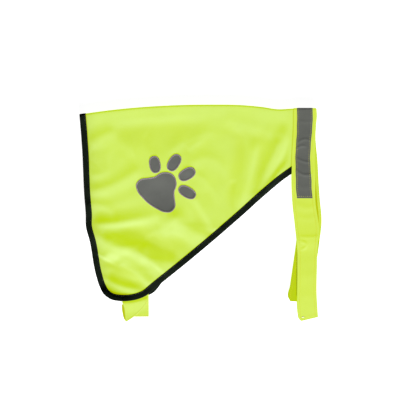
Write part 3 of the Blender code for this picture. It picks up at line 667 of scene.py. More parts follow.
def paintedEdgeShades():
    look = paintedCapeShade
    offBinding = np.abs(fromLine(outlineLine, nearX, nearY)[0]) - bindingWidth
    offNeck = np.abs(neckX("near", nearY) - nearX - look["seamStart"])
    seam = look["seam"] * ramp(1 - offNeck / look["seamWidth"])
    rear = look["rear"] * ramp(1 - offBinding / look["rearWidth"])
    rear = rear * ramp((nearY - look["rearY"][0]) / look["rearY"][1])
    rear = rear * ramp((look["rearX"][0] - nearX) / look["rearX"][1])
    offTuck = np.hypot((nearX - look["tuckMiddle"][0]) / look["tuckReach"][0],
                       (nearY - look["tuckMiddle"][1]) / look["tuckReach"][1])
    tuck = look["tuck"] * ramp(look["tuckEdge"] - offTuck)
    tuck = tuck * ramp(look["tuckEdge"] - offBinding / look["tuckWidth"])
    rearPart = ramp((look["rimX"][0] - nearX) / look["rimX"][1])
    rim = 0.0
    for part, (tone, reach) in ((rearPart, look["rearRim"]), (1 - rearPart, look["otherRim"])):
        rim = rim + part * tone * np.exp(-np.maximum(offBinding, 0.0) / reach)
    return np.maximum(np.maximum(rear, tuck), seam), rim


def withFar(values):                # with nothing on the far half
    return np.pad(values, ((0, len(farPart)), (0, 0)))


paintedEdgeShade, paintedRimShade = paintedEdgeShades()
# painted shade in the troughs of the folds, then along the binding, at the seam and in the tuck
paintedCapeShadeValues = withFar(np.clip(-foldRelief(nearX, nearY) / paintedCapeShade["foldDepth"], 0.0, 1.0))
paintedCapeShadeValues = np.maximum(blurred(paintedCapeShadeValues), withFar(paintedEdgeShade + paintedRimShade * paintedCapeShade["rimInPaintedShade"]))
cape = clothWall("capeCloth", capeMiddle, turned(capeMiddle, 10, 90), capeCut["wall"] / 2,
                 together(capeMiddle[..., 0], clothAlong), finish["knit"], paintedCapeShadeValues, withFar(paintedRimShade))
print("cape made")


bindingCut = {"width": bindingWidth, "half": 1.0, "cloth": 0.42, "stitchIn": 1.6, "tuck": 0.6, "columns": 8,
              "rearLength": 330.0, "turnShare": 0.0075, "nearRows": 430, "farRows": 300}


def bindingSection():               # inset and height of the outer and inner face of the folded ribbon
    half, cloth, width = bindingCut["half"], bindingCut["cloth"], bindingCut["width"]
    # the stitching near the inner edge pinches the ribbon
    top = [(width, 0.55), (width - 0.5, 0.86), (width - bindingCut["stitchIn"], 0.80),
           (width - 2.6, 0.92), (6.0, 0.99), (4.2, 1.0), (2.4, 0.99), (1.2, 0.93)]
    turn = [(1 - cos(angle), sin(angle)) for angle in np.radians((62, 42, 20))]
    outer = [(inset, height * half) for inset, height in top + turn] + [(0.0, 0.0)]
    outer = outer + [(inset, -height) for inset, height in outer[-2::-1]]
    inner = [(max(inset, cloth + 0.02), np.sign(height) * max(abs(height) - cloth, 0.0))
             for inset, height in outer]
    return np.array(outer), np.array(inner)


def bindingHalf(side, count):
    cut = bindingCut
    turn = rollDepths(capeCut["roll"]) / cut["rearLength"] * capeCut["rearShare"]
    rest = np.linspace(0, 1, count + 1)[1:] * (1 - cut["turnShare"]) + cut["turnShare"]
    shares = np.concatenate((turn, rest))
    grid = []
    for inset in np.linspace(0, cut["width"], cut["columns"] + 1):
        points = edgeLine(side, inset, shares * edgeEnd(side, inset, cut["tuck"]))
        rearX = outlinePoints[0][0] + inset
        points[0] = (rearX, spineY(rearX))
        grid.append(capeSurface(side, points[:, 0], points[:, 1]))
    return np.stack(grid, axis=1)


nearEdge = bindingHalf("near", bindingCut["nearRows"])
farEdgeShade = bindingHalf("far", bindingCut["farRows"])
edgeMiddle = np.concatenate((nearEdge[::-1], farEdgeShade[1:]))
edgeOut = turned(edgeMiddle, 40, 4)
sectionOut, sectionIn = bindingSection()


def atSection(section):             # the section's points in every row of the edge
    place = section[:, 0] / bindingCut["width"] * (edgeMiddle.shape[1] - 1)
    low = np.clip(place.astype(int), 0, edgeMiddle.shape[1] - 2)
    part = (place - low)[None, :, None]
    middle = edgeMiddle[:, low] * (1 - part) + edgeMiddle[:, low + 1] * part
    out = edgeOut[:, low] * (1 - part) + edgeOut[:, low + 1] * part
    return middle + out * section[:, 1][None, :, None]


bindingCloth = clothGrid(sectionOut, edgeMiddle[:, 0])
binding = wallMesh("edgeBinding", atSection(sectionOut), atSection(sectionIn), bindingCloth,
                   finish["binding"])
print("binding made, length", round(bindingCloth[-1, 0, 1]))


bandCut = {
    "half": 0.8, "cloth": 0.42, "roll": 2.2, "columns": 30, "rows": {"near": 175, "far": 150},
    "freeEnd": -200.0, "wrinkleFade": 0.25, "wrinkleTop": 12.0,
    # columns in from either edge, and the share of the full thickness there
    "margin": (0.0, 0.3, 0.8, 1.8, 3.2, 4.0, 4.6, 5.2, 6.2), "stitchIn": 4.6,
    "leftThick": (0.55, 0.86, 0.98, 1.0, 1.0, 0.90, 0.80, 0.90, 1.0),
    "rightThick": (1.0, 0.90, 0.80, 0.90, 1.0, 1.0, 0.98, 0.82, 0.45),
    # the slot between the layers that takes the cape's neck edge
    "slotStart": 9.0, "slotReach": 10.0, "slotFade": 4.0, "slotOpen": 0.42, "slotMost": 0.52,
    "leastHollow": 0.10, "leastCloth": 0.22,
    # the right edge: how far past the last column, and where and how the hollow ends before it
    "edgePast": 0.4, "endShares": (0.7, 0.3), "endHollow": 0.08,
}
# Wrinkles of the band: start, middle, end, half width, rise
bandWrinkles = (
    ((155.0, 152.5), (170.0, 150.6), (189.0, 150.0), 2.4, 0.18),
    ((158.0, 113.0), (170.5, 121.6), (184.0, 117.5), 1.8, 0.46),
    ((155.0, 103.5), (164.5, 110.2), (176.0, 110.0), 1.8, 0.42),
    ((155.0, 93.0), (167.5, 85.8), (183.0, 84.0), 1.9, 0.46),
    ((154.0, 74.0), (169.5, 63.2), (188.0, 66.5), 2.1, 0.54),
    ((156.0, 48.0), (168.0, 43.0), (184.0, 46.0), 4.0, 0.16),
    ((153.0, 18.0), (170.0, 9.0), (192.0, 13.0), 5.5, 0.39),
    ((156.0, -4.0), (172.0, -9.0), (193.0, -3.0), 5.0, 0.25),
    ((160.0, -38.0), (176.0, -39.5), (196.0, -38.0), 2.6, 0.39),
    ((163.0, -43.5), (173.5, -53.6), (162.5, -62.0), 2.0, 0.75),
    ((160.0, -100.0), (176.0, -104.0), (192.0, -99.0), 8.0, 0.23),
    ((160.0, -140.0), (176.0, -136.0), (192.0, -139.0), 7.0, 0.21),
)
neckTop = spinePoints[-1][1]


def bandWrinkle(x, y):
    relief = np.zeros(np.shape(x))
    for start, middle, end, halfWidth, rise in bandWrinkles:
        off, share = alongBow(start, middle, end, x, y)
        fade = ramp(share / bandCut["wrinkleFade"]) * ramp((1 - share) / bandCut["wrinkleFade"])
        relief += rise * fade * np.exp(-((off / halfWidth) ** 2))
    return relief


def bandPlane(side, shares, across):    # middle of the band, across it from its left edge in mm
    rows = bandCurve[side](shares)
    leftY, leftX, rightY, rightX, height = (rows[:, index][:, None] for index in range(5))
    part = across / np.hypot(rightX - leftX, rightY - leftY)
    x, y = leftX + (rightX - leftX) * part, leftY + (rightY - leftY) * part
    height = np.broadcast_to(height, x.shape)
    if side == "near":
        height = height + bandWrinkle(x, y) * ramp((neckTop - y) / bandCut["wrinkleTop"])
        levels = height, farBand[-1][4]
    else:
        height = np.maximum(height, bandCut["half"])
        levels = nearBand[-1][4], np.where(y < neckTop - bandCut["roll"], height, farBand[-1][4])
    return together(x, y, turnedOver(side, *levels, neckTop - y, bandCut["roll"]))


def bandShares(side, startY, rows):
    line = bandLine[side]
    shares = np.linspace(0.0, 1.0, len(line))
    start, turn = np.interp((startY, neckTop - bandCut["roll"]), line[:, 0], shares)
    turnY = neckTop - rollDepths(bandCut["roll"])[-2::-1]
    return np.concatenate((np.linspace(start, turn, rows + 1), np.interp(turnY, line[:, 0], shares)))


def bandGrid(startY, rows, across):     # middle of a strip on the band, from near end to far end
    grids = []
    for side in ("near", "far"):
        shares = bandShares(side, startY, rows[side])
        edges = bandCurve[side](shares)
        width = np.hypot(*(edges[:, [3, 2]] - edges[:, [1, 0]]).T)
        grids.append(bandPlane(side, shares, across(side, shares, width)))
    joined = np.concatenate((grids[0], grids[1][-2::-1]))
    return joined, turned(joined, 5, joined.shape[1] // 2)


margin = np.array(bandCut["margin"])
marginCount = len(margin)


def wholeBand(side, shares, width):     # columns close together at the topstitched margins
    inner = margin[-1]
    middle = np.linspace(0.0, 1.0, bandCut["columns"] - 2 * marginCount + 2)[1:-1]
    return np.array([np.concatenate((margin, inner + (w - 2 * inner) * middle, w - margin[::-1]))
                     for w in width])


bandMiddle, bandOut = bandGrid(bandCut["freeEnd"], bandCut["rows"], wholeBand)
columns = bandMiddle.shape[1]
stitchColumn = bandCut["margin"].index(bandCut["stitchIn"])
stitchColumns = [stitchColumn, columns - 1 - stitchColumn]
thick = np.ones(columns)
thick[:marginCount], thick[-marginCount:] = bandCut["leftThick"], bandCut["rightThick"]
outHalf = bandCut["half"] * thick
inHalf = np.maximum(outHalf - bandCut["cloth"], bandCut["leastHollow"])
nearCount = len(bandShares("near", bandCut["freeEnd"], bandCut["rows"]["near"]))
pastFold = nearCount + capeCut["rollRows"]
sewn = np.zeros(len(bandMiddle))        # 1 where the cape's neck edge lies between the band's layers
for side, rows in (("near", slice(None, nearCount)), ("far", slice(nearCount, None))):
    hemY = edgeLine(side, capeCut["edgeIn"], edgeEnd(side, capeCut["edgeIn"], 0.0))[1]
    sewn[rows] = ramp((bandMiddle[rows, 0, 1] - hemY + bandCut["slotStart"]) / bandCut["slotFade"])
slotShare = np.zeros(columns)
slotShare[:marginCount] = ramp((bandCut["slotReach"] - margin) / bandCut["slotFade"])
hollow = np.minimum(inHalf + sewn[:, None] * slotShare * bandCut["slotOpen"], bandCut["slotMost"])
bandHalf = np.maximum(outHalf, hollow + bandCut["leastCloth"])
topOut, topIn = (bandMiddle + bandOut * part[..., None] for part in (bandHalf, hollow))
lowOut, lowIn = (bandMiddle - bandOut * part[..., None] for part in (bandHalf, hollow))
rightEdge, rightIn = bandMiddle[:, -1:], bandMiddle[:, -2:-1]
pastEdge = rightEdge + (rightEdge - rightIn) * bandCut["edgePast"]
bandOuter = np.concatenate((topOut, pastEdge, lowOut[:, ::-1]), axis=1)
bandInner = np.concatenate((topIn, rightIn, lowIn[:, ::-1]), axis=1)
for up in (1, -1):                  # the hollow closes short of the right edge
    lastIn = bandMiddle[:, -3]
    ending = rightIn[:, 0] * bandCut["endShares"][0] + lastIn * bandCut["endShares"][1]
    bandInner[:, columns - up] = ending + bandOut[:, -3] * bandCut["endHollow"] * up
    bandInner[:, columns - 2 * up] = lastIn + bandOut[:, -3] * bandCut["leastHollow"] * up
bandCloth = clothGrid(bandOuter[30], bandMiddle[:, 4])
# painted shade at the seams and in the topstitched grooves, deeper on the far half's inner face; where the
# far half peeks past the near half its edge is lighter, and a painted shadow lies beside the near half
paintedBandTones = {"seam": 0.25, "grooveShade": 0.40, "innerFace": 1.0,
             "peekAbove": -45.0, "peekEdge": 0.35, "peekFace": 1.9, "peekColumns": (8, 12)}
paintedBandShade = np.zeros(bandOuter.shape[:2])
paintedBandShade[:, [0, 1, columns - 1, columns]] = paintedBandTones["seam"]
paintedBandShade[:, stitchColumns] = paintedBandTones["grooveShade"]
paintedBandShade[pastFold:, columns + 1:] = paintedBandTones["innerFace"]     # of the far half, in the shade
peeking = np.flatnonzero(bandMiddle[pastFold:, 0, 1] > paintedBandTones["peekAbove"]) + pastFold
edgeTo, faceTo = (columns + count for count in paintedBandTones["peekColumns"])
paintedBandShade[peeking, columns + 1:edgeTo] = paintedBandTones["peekEdge"]
paintedBandShade[peeking, edgeTo:faceTo] = paintedBandTones["peekFace"]
neckband = wallMesh("neckbandCloth", bandOuter, bandInner, bandCloth, finish["band"], paintedBandShade)
print("neckband made, length", round(bandCloth[-1, 0, 1]))


tapeCut = {"width": 25.7, "end": 24.7, "inAtEnd": 7.9, "inAtFold": 5.3, "cloth": 0.30, "clear": 0.05,
           "columns": 20, "rows": {"near": 96, "far": 60}, "sink": (-0.03, -0.06, -0.03),
           "pucker": 1.5, "puckerMiddle": 103.0, "puckerReach": 38.0, "loose": (86.0, 112.0)}


def tapeAcross(side, shares, width):
    y = bandCurve[side](shares)[:, 0]
    climb = (y - tapeCut["end"]) / (neckTop - tapeCut["end"])
    inset = tapeCut["inAtEnd"] + (tapeCut["inAtFold"] - tapeCut["inAtEnd"]) * climb
    pucker = tapeCut["pucker"] * np.exp(-(((y - tapeCut["puckerMiddle"]) / tapeCut["puckerReach"]) ** 4))
    wander = 0.2 * np.sin(y / 9.0) + 0.2 * np.sin(y / 4.1 + 1.0) - 0.4 * pucker
    steps = np.concatenate(([0.0, 0.016, 0.04, 0.07, 0.1], np.linspace(0.15, 0.85, tapeCut["columns"] - 9),
                            [0.9, 0.93, 0.96, 0.984, 1.0]))
    return (inset + wander)[:, None] + (tapeCut["width"] - pucker)[:, None] * steps[None, :]


tapeMiddle, tapeOut = bandGrid(tapeCut["end"], tapeCut["rows"], tapeAcross)
tapeLift = bandCut["half"] + tapeCut["clear"] + tapeCut["cloth"] / 2
sink = np.zeros(tapeMiddle.shape[1])    # its stitches pull the tape down
sink[[1, 2, 3]] = sink[[-2, -3, -4]] = tapeCut["sink"]
tapeMiddle = tapeMiddle + tapeOut * (tapeLift + sink)[None, :, None]
tape = clothWall("reflectiveTape", tapeMiddle, tapeOut, tapeCut["cloth"] / 2,
                 clothGrid(tapeMiddle[9], tapeMiddle[:, 4]), finish["tape"])


hookCut = {"rows": ((-136.0, 158.2, 177.0), (-98.0, 158.2, 177.6), (-60.0, 158.6, 178.5)),
           "pile": 0.8, "clear": 0.1}
strip = sampled(curveThrough(hookCut["rows"]), 60)
stripX = strip[:, 1:2] + (strip[:, 2:3] - strip[:, 1:2]) * np.linspace(0, 1, 17)
stripY = np.broadcast_to(strip[:, :1], stripX.shape)
stripZ = np.maximum(bandLevel("far", stripY), bandCut["half"]) + bandCut["half"] + hookCut["clear"]
pileHeight = hookCut["pile"] * (0.78 + 0.22 * np.sin(stripX * 3.1) * np.sin(stripY * 2.7 + 0.6))
hookStrip = wallMesh("fasteningStrip", together(stripX, stripY, stripZ + pileHeight),
                     together(stripX, stripY, stripZ), together(stripX, stripY), finish["pile"])


strapCut = {
    "cloth": 0.8, "cadWall": 1.0, "capeWall": 1.0, "bindingWall": 2.0, "seam": 0.3, "layerGap": 0.4,
    "dropStart": 0.8, "dropLength": 24.0, "sewnStart": 11.0, "sewnLength": 14.0, "climb": 6.0,
    "columns": 20, "rows": 60, "tailRows": 16,
}
# painted shade along the straps' edges and at the turn of the near strap, deep on its turned end
paintedStrapTones = {"edge": 0.22, "farEdgeShade": 0.30, "turn": 0.34, "lap": 2.0}
farStrapRows = ((-98.0, -98.0), (-145.0, -140.0), (-171.0, -170.8))
farStrapSides = (-126.0, -85.6)
nearStrapRows = (
    (-129.5, -98.0, -88.3, -98.0, 0.0), (-129.5, -116.0, -88.1, -110.0, 0.0),
    (-129.4, -145.0, -87.7, -131.0, 0.6), (-126.0, -156.0, -87.6, -136.0, 1.8),
    (-124.8, -168.0, -87.7, -140.0, 3.2), (-123.6, -178.2, -87.6, -142.6, 3.8),
)
nearTailRows = (
    (-123.6, -178.2, -87.6, -142.6, 3.8), (-125.3, -176.2, -110.0, -150.0, 1.5),
    (-126.6, -174.4, -129.8, -150.3, -1.2),
)
farOutline = edgeLine("far", 0.0, np.linspace(0, 1, outlineSamples + 1))


def farStrapLevel(x, y):
    cut, half = strapCut, strapCut["cadWall"] / 2
    beyond = fromLine(farOutline, x, y)[0]
    overBinding, overCape = (cut[wall] + cut["seam"] + half for wall in ("bindingWall", "capeWall"))
    level = overBinding + (half - overBinding) * ramp((beyond - cut["dropStart"]) / cut["dropLength"])
    return level + (overCape - overBinding) * ramp((-beyond - cut["sewnStart"]) / cut["sewnLength"])


def nearStrapLevel(x, y, layer):
    step = strapCut["cadWall"] + strapCut["layerGap"]
    beyond = fromLine(farOutline, x, y)[0]
    return farStrapLevel(x, y) + step + layer * step * ramp(beyond / strapCut["climb"])


def strapMesh(name, middle, shade):
    out = turned(middle, 3, middle.shape[1] // 2)
    edges = np.concatenate(([0.5, 0.9], np.ones(middle.shape[1] - 4), [0.9, 0.5]))[None, :, None]
    made = clothWall(name, middle, out, strapCut["cloth"] / 2 * edges,
                     clothGrid(middle[2], middle[:, 3]), finish["strap"], shade)
    return made, out


strapParts = np.concatenate(([0.0, 0.012], np.linspace(0.035, 0.965, strapCut["columns"] - 3), [0.988, 1.0]))
farEnds = sampled(curveThrough(farStrapRows), strapCut["rows"])
farStrapY = farEnds[:, :1] + (farEnds[:, 1:] - farEnds[:, :1]) * strapParts[None, :]
farStrapX = farStrapSides[0] + (farStrapSides[1] - farStrapSides[0]) * strapParts
farStrapX = np.broadcast_to(farStrapX, farStrapY.shape)
farStrapMiddle = together(farStrapX, farStrapY, farStrapLevel(farStrapX, farStrapY))
farStrapPaintedShade = np.zeros(farStrapY.shape)
farStrapPaintedShade[:, [0, 1, -2, -1]] = farStrapPaintedShade[-2:] = paintedStrapTones["farEdgeShade"]
farStrap, farStrapOut = strapMesh("bellyStrapFar", farStrapMiddle, farStrapPaintedShade)


def bowedRows(values, layer):
    left, right, bow = values[:, None, :2], values[:, None, 2:4], values[:, None, 4:]
    run = right - left
    outward = together(run[..., 1], -run[..., 0]) / np.linalg.norm(run, axis=-1)[..., None]
    part = strapParts[None, :, None]
    place = left + run * part + outward * bow * 4 * part * (1 - part)
    x, y = place[..., 0], place[..., 1]
    return together(x, y, nearStrapLevel(x, y, layer))


upper = bowedRows(sampled(curveThrough(nearStrapRows), strapCut["rows"]), 1.0)
tail = bowedRows(sampled(curveThrough(nearTailRows), strapCut["tailRows"]), 0.0)
offFold, upward = np.array((0.7071, -0.7071, 0.0)), np.array((0, 0, 1.0))
turnRows = []
for angle in np.radians((60, 30, 0, -30, -60)):
    radius = (upper[-1, :, 2:] - tail[0, :, 2:]) / 2
    turnRows.append(tail[0] + offFold * radius * cos(angle) + upward * radius * (1 + sin(angle)))
nearStrapMiddle = np.concatenate((upper, np.array(turnRows), tail))
nearStrapPaintedShade = np.zeros(nearStrapMiddle.shape[:2])
nearStrapPaintedShade[len(upper) + 2:] = paintedStrapTones["lap"]         # behind the turned end, in the shade
nearStrapPaintedShade[len(upper) - 2:len(upper) + 2] = paintedStrapTones["turn"]
nearStrapPaintedShade[:len(upper), [0, 1, -2, -1]] = paintedStrapTones["edge"]
nearStrap, nearStrapOut = strapMesh("bellyStrapNear", nearStrapMiddle, nearStrapPaintedShade)
print("straps made")


pawCut = {"cloth": 0.25, "clear": 0.05, "rimWidth": 2.0, "rimHeight": 0.13, "rimOut": 0.15, "roundness": 2.4,
          "slopeStep": 0.6, "rimLow": 0.02, "rimTop": 0.04}
pawToes = (
    ((-75.4, 80.2), 14.2, 9.3, 100.0), ((-43.7, 83.3), 15.2, 9.5, 58.0),
    ((-22.6, 64.4), 14.9, 9.5, 30.0), ((-22.3, 34.7), 15.6, 9.1, -30.0),
)
# The pad's rim was measured on the photograph: angle off its axis and reach, the same on both sides
padCut = {"centre": (-67.2, 37.9), "axis": 52.0,
          "rim": ((0.0, 33.5), (28.0, 30.0), (60.0, 24.0), (84.0, 29.0), (100.0, 37.5), (114.0, 40.4),
                  (130.0, 37.2), (150.0, 31.6), (180.0, 29.0), (210.0, 31.6))}
padRimRows = [(-angle, reach) for angle, reach in padCut["rim"][:0:-1]] + list(padCut["rim"])
padRim = sampled(curveThrough(padRimRows), 240)


def toePlace(centre, halfLength, halfWidth, heading):
    turn = radians(heading)

    def place(u, v):
        power = pawCut["roundness"]
        square = (np.abs(u) ** power + np.abs(v) ** power) ** (1 / power)
        fuller = np.hypot(u, v) / np.maximum(square, 1e-9)
        along, beside = u * fuller * halfLength, v * fuller * halfWidth
        return (centre[0] + along * cos(turn) - beside * sin(turn),
                centre[1] + along * sin(turn) + beside * cos(turn))

    return place


def padPlace(u, v):
    angle = np.degrees(np.arctan2(v, u))
    reach = np.interp(angle, padRim[:, 0], padRim[:, 1]) * np.hypot(u, v)
    turn = np.radians(padCut["axis"] + angle)
    return padCut["centre"][0] + reach * np.cos(turn), padCut["centre"][1] + reach * np.sin(turn)


def onCape(x, y, lift):             # points moved out from the near half, and the directions out of it
    step = pawCut["slopeStep"]
    height = nearHeight(x, y)
    slopeX = (nearHeight(x + step, y) - nearHeight(x - step, y)) / (2 * step)
    slopeY = (nearHeight(x, y + step) - nearHeight(x, y - step)) / (2 * step)
    out = together(-slopeX, -slopeY, np.ones(np.shape(x)))
    out /= np.linalg.norm(out, axis=-1)[..., None]
    return together(x, y, height) + out * np.asarray(lift)[..., None], out


def pawPiece(name, place, cells):
    v, u = np.meshgrid(np.linspace(-1, 1, cells + 1), np.linspace(-1, 1, cells + 1), indexing="ij")
    x, y = place(u * np.sqrt(1 - v * v / 2), v * np.sqrt(1 - u * u / 2))
    base = capeCut["wall"] / 2 + pawCut["clear"] + pawCut["cloth"] / 2
    middle, out = onCape(x, y, np.full(x.shape, base))
    return clothWall(name, middle, out, pawCut["cloth"] / 2, together(x, y), finish["paw"])


def pawRim(place, count):           # raised satin-stitched border just inside the edge
    angle = np.linspace(0, 2 * pi, count + 1)
    x, y = place(np.cos(angle), np.sin(angle))
    run = together(np.gradient(x), np.gradient(y))
    run[0] = run[-1] = (run[0] + run[-1]) / 2
    run /= np.linalg.norm(run, axis=1)[:, None]
    across = np.linspace(0, pi, 7)
    inset = -pawCut["rimOut"] + pawCut["rimWidth"] * (1 - np.cos(across)) / 2
    rise = np.sin(across) * pawCut["rimHeight"]
    px = x[:, None] - run[:, 1:] * inset
    py = y[:, None] + run[:, :1] * inset
    base = capeCut["wall"] / 2 + pawCut["clear"] + pawCut["cloth"]
    top, out = onCape(px, py, base + pawCut["rimTop"] + np.broadcast_to(rise, px.shape))
    low, _ = onCape(px, py, np.full(px.shape, base + pawCut["rimLow"]))
    return top, low, out


pawPieces = {"pawPad": (padPlace, 40, 260)}
for number, toe in enumerate(pawToes, start=1):
    pawPieces[f"pawToe{number}"] = (toePlace(*toe), 18, 110)
pawFills, pawRims, pawPaths = {}, {}, {}
for name, (place, cells, count) in pawPieces.items():
    pawFills[name] = pawPiece(name, place, cells)
    top, low, out = pawRim(place, count)
    pawRims[name] = wallMesh(name + "Rim", top, low, top[..., :2], finish["mauveThread"])
    pawPaths[name] = (top[:, 3], out[:, 3])
print("paw made")


def stitchTree():
    tree = bpy.data.node_groups.new("stitchesAlongPath", "GeometryNodeTree")
    face = tree.interface
    face.new_socket("Geometry", in_out="INPUT", socket_type="NodeSocketGeometry")
    for name, kind, value in (("Pitch", "NodeSocketFloat", 0.003), ("Length", "NodeSocketFloat", 0.0024),
                              ("Width", "NodeSocketFloat", 0.0006), ("Turn", "NodeSocketFloat", 0.0),
                              ("Uneven", "NodeSocketFloat", 0.1), ("Seed", "NodeSocketInt", 7),
                              ("Thread", "NodeSocketMaterial", None)):
        socket = face.new_socket(name, in_out="INPUT", socket_type=kind)
        if value is not None:
            socket.default_value = value
    face.new_socket("Geometry", in_out="OUTPUT", socket_type="NodeSocketGeometry")
    graph = Graph(tree)
    given = tree.nodes.new("NodeGroupInput")
    wires = {socket.name: Wire(graph, socket) for socket in given.outputs if socket.name}
    path = graph.node("GeometryNodeMeshToCurve", None, {0: wires["Geometry"]})
    path = graph.node("GeometryNodeResampleCurve", {"mode": "LENGTH"},
                      {"Curve": path, "Length": wires["Pitch"]})
    tangent = graph.node("GeometryNodeInputTangent")
    up = graph.node("GeometryNodeInputNamedAttribute", {"data_type": "FLOAT_VECTOR"}, {"Name": "up"})
    jitter = graph.node("FunctionNodeRandomValue", {"data_type": "FLOAT_VECTOR"},
                        {0: (-1.0, -1.0, 0.0), 1: (1.0, 1.0, 0.0), "Seed": wires["Seed"]})
    nudge = graph.node("ShaderNodeVectorMath", {"operation": "SCALE"}, {0: jitter, "Scale": wires["Uneven"]})
    heading = graph.node("ShaderNodeVectorMath", {"operation": "ADD"}, {0: tangent, 1: nudge})
    facing = graph.node("FunctionNodeAlignRotationToVector", {"axis": "Z"}, {"Vector": up})
    facing = graph.node("FunctionNodeAlignRotationToVector", {"axis": "X", "pivot_axis": "Z"},
                        {"Rotation": facing, "Vector": heading})
    bead = graph.node("GeometryNodeMeshUVSphere", None, {"Segments": 8, "Rings": 5, "Radius": 0.5})
    size = graph.node("ShaderNodeCombineXYZ", None,
                      {0: wires["Length"], 1: wires["Width"], 2: wires["Width"] * 0.7})
    turn = graph.node("ShaderNodeCombineXYZ", None, {2: wires["Turn"]})
    bead = graph.node("GeometryNodeTransform", None, {"Geometry": bead, "Rotation": turn, "Scale": size})
    placed = graph.node("GeometryNodeInstanceOnPoints", None,
                        {"Points": path, "Instance": bead, "Rotation": facing})
    plain = graph.node("GeometryNodeRealizeInstances", None, {0: placed})
    smooth = graph.node("GeometryNodeSetShadeSmooth", None, {0: plain})
    dressed = graph.node("GeometryNodeSetMaterial", None, {"Geometry": smooth, "Material": wires["Thread"]})
    result = tree.nodes.new("NodeGroupOutput")
    tree.links.new(dressed.socket, result.inputs[0])
    return tree


stitching = stitchTree()


def stitches(name, paths, material, **sizes):
    # each path is rows of points and the directions out of the cloth under them
    points, ups, edges = [], [], []
    for line, out in paths:
        start = len(points)
        points += ((np.asarray(line) + tableShift) * mm).tolist()
        ups += np.asarray(out).tolist()
        edges += [(start + index, start + index + 1) for index in range(len(line) - 1)]
    mesh = bpy.data.meshes.new(name + "Path")
    mesh.from_pydata(points, edges, [])
    attribute = mesh.attributes.new("up", "FLOAT_VECTOR", "POINT")
    attribute.data.foreach_set("vector", np.array(ups, np.float32).ravel())
    carrier = inScene(name + "Path", mesh)
    modifier = carrier.modifiers.new("stitches", "NODES")
    modifier.node_group = stitching
    values = {"Thread": material, **sizes}
    for socket in stitching.interface.items_tree:
        if socket.item_type == "SOCKET" and socket.in_out == "INPUT" and socket.name in values:
            modifier[socket.identifier] = values[socket.name]
    graph = bpy.context.evaluated_depsgraph_get()
    plain = bpy.data.meshes.new_from_object(carrier.evaluated_get(graph))
    bpy.data.objects.remove(carrier)
    plain.name = name
    print(f"{name}: {len(plain.polygons)} faces")
    return inScene(name, plain)


def pathOn(middle, out, rows, column, lift):        # thread on a face of the cloth, and directions out of it
    return middle[rows, column] + out[rows, column] * lift, out[rows, column]


threadLift = {"band": 0.02, "tape": 0.04, "strap": 0.03}
# rows left free at a band's end, rows that a seam runs on past the fold, and the band's far rows
threadRows = {"free": 3, "bandPast": 20, "bandFar": 90, "tapeFree": 2, "tapePast": 8, "bindingPast": 12}
bandTotal, free = len(bandMiddle), threadRows["free"]
bandPaths = []
for face, rows in ((1, slice(free, nearCount + threadRows["bandPast"])),
                   (-1, slice(bandTotal - threadRows["bandFar"], bandTotal - free))):
    for column in stitchColumns:
        lift = bandHalf[rows, column, None] + threadLift["band"]
        bandPaths.append(pathOn(bandMiddle, bandOut * face, rows, column, lift))
endColumns = slice(stitchColumn, columns - stitchColumn)        # across the band, close to its free end
bandPaths.append(pathOn(bandMiddle, bandOut, free, endColumns, bandCut["half"] + threadLift["band"]))
bandStitches = stitches("neckbandStitches", bandPaths, finish["yellowThread"],
                        Pitch=0.0030, Length=0.0023, Width=0.00062, Uneven=0.06, Seed=11)

tapeTop = tapeCut["cloth"] / 2 + threadLift["tape"]
tapeNear = len(bandShares("near", tapeCut["end"], tapeCut["rows"]["near"]))
tapeFree = threadRows["tapeFree"]
tapeRows = slice(tapeFree, tapeNear + threadRows["tapePast"])
tapePaths = [pathOn(tapeMiddle, tapeOut, tapeRows, column, tapeTop) for column in (4, -5)]
tapePaths.append(pathOn(tapeMiddle, tapeOut, tapeFree, slice(2, -2), tapeTop))
edgeY = tapeMiddle[:tapeNear, 0, 1]     # slack loops lie along the edge at the pucker
looseRows = np.flatnonzero((edgeY > tapeCut["loose"][0]) & (edgeY < tapeCut["loose"][1]))
tapePaths.append(pathOn(tapeMiddle, tapeOut, looseRows, 0, tapeTop))
tapeStitches = stitches("tapeStitches", tapePaths, finish["tapeThread"],
                        Pitch=0.0030, Length=0.0019, Width=0.00056, Uneven=0.06, Seed=12)

sewnRows = slice(2, nearEdge.shape[0] + threadRows["bindingPast"])
bindingSeam = np.array(((bindingWidth - bindingCut["stitchIn"], 0.82),))
bindingPath = (atSection(bindingSeam)[sewnRows, 0], edgeOut[sewnRows, -2])
bindingStitches = stitches("bindingStitches", [bindingPath], finish["blackThread"],
                           Pitch=0.0028, Length=0.0022, Width=0.00058, Uneven=0.05, Seed=13)

pawStitches = {}
for name, path in pawPaths.items():
    pawStitches[name] = stitches(name + "Stitches", [path], finish["mauveThread"],
                                 Pitch=0.00062, Length=0.0023, Width=0.00056, Turn=pi / 2,
                                 Uneven=0.12, Seed=14)

strapTop = strapCut["cloth"] / 2 + threadLift["strap"]
strapPaths = [pathOn(nearStrapMiddle, nearStrapOut, slice(2, 60), column, strapTop) for column in (3, -4)]
for rows, column in ((slice(2, 58), -4), (57, slice(2, -3))):
    strapPaths.append(pathOn(farStrapMiddle, farStrapOut, rows, column, strapTop))
strapStitches = stitches("strapStitches", strapPaths, finish["yellowThread"],
                         Pitch=0.0030, Length=0.0022, Width=0.00055, Uneven=0.06, Seed=15)

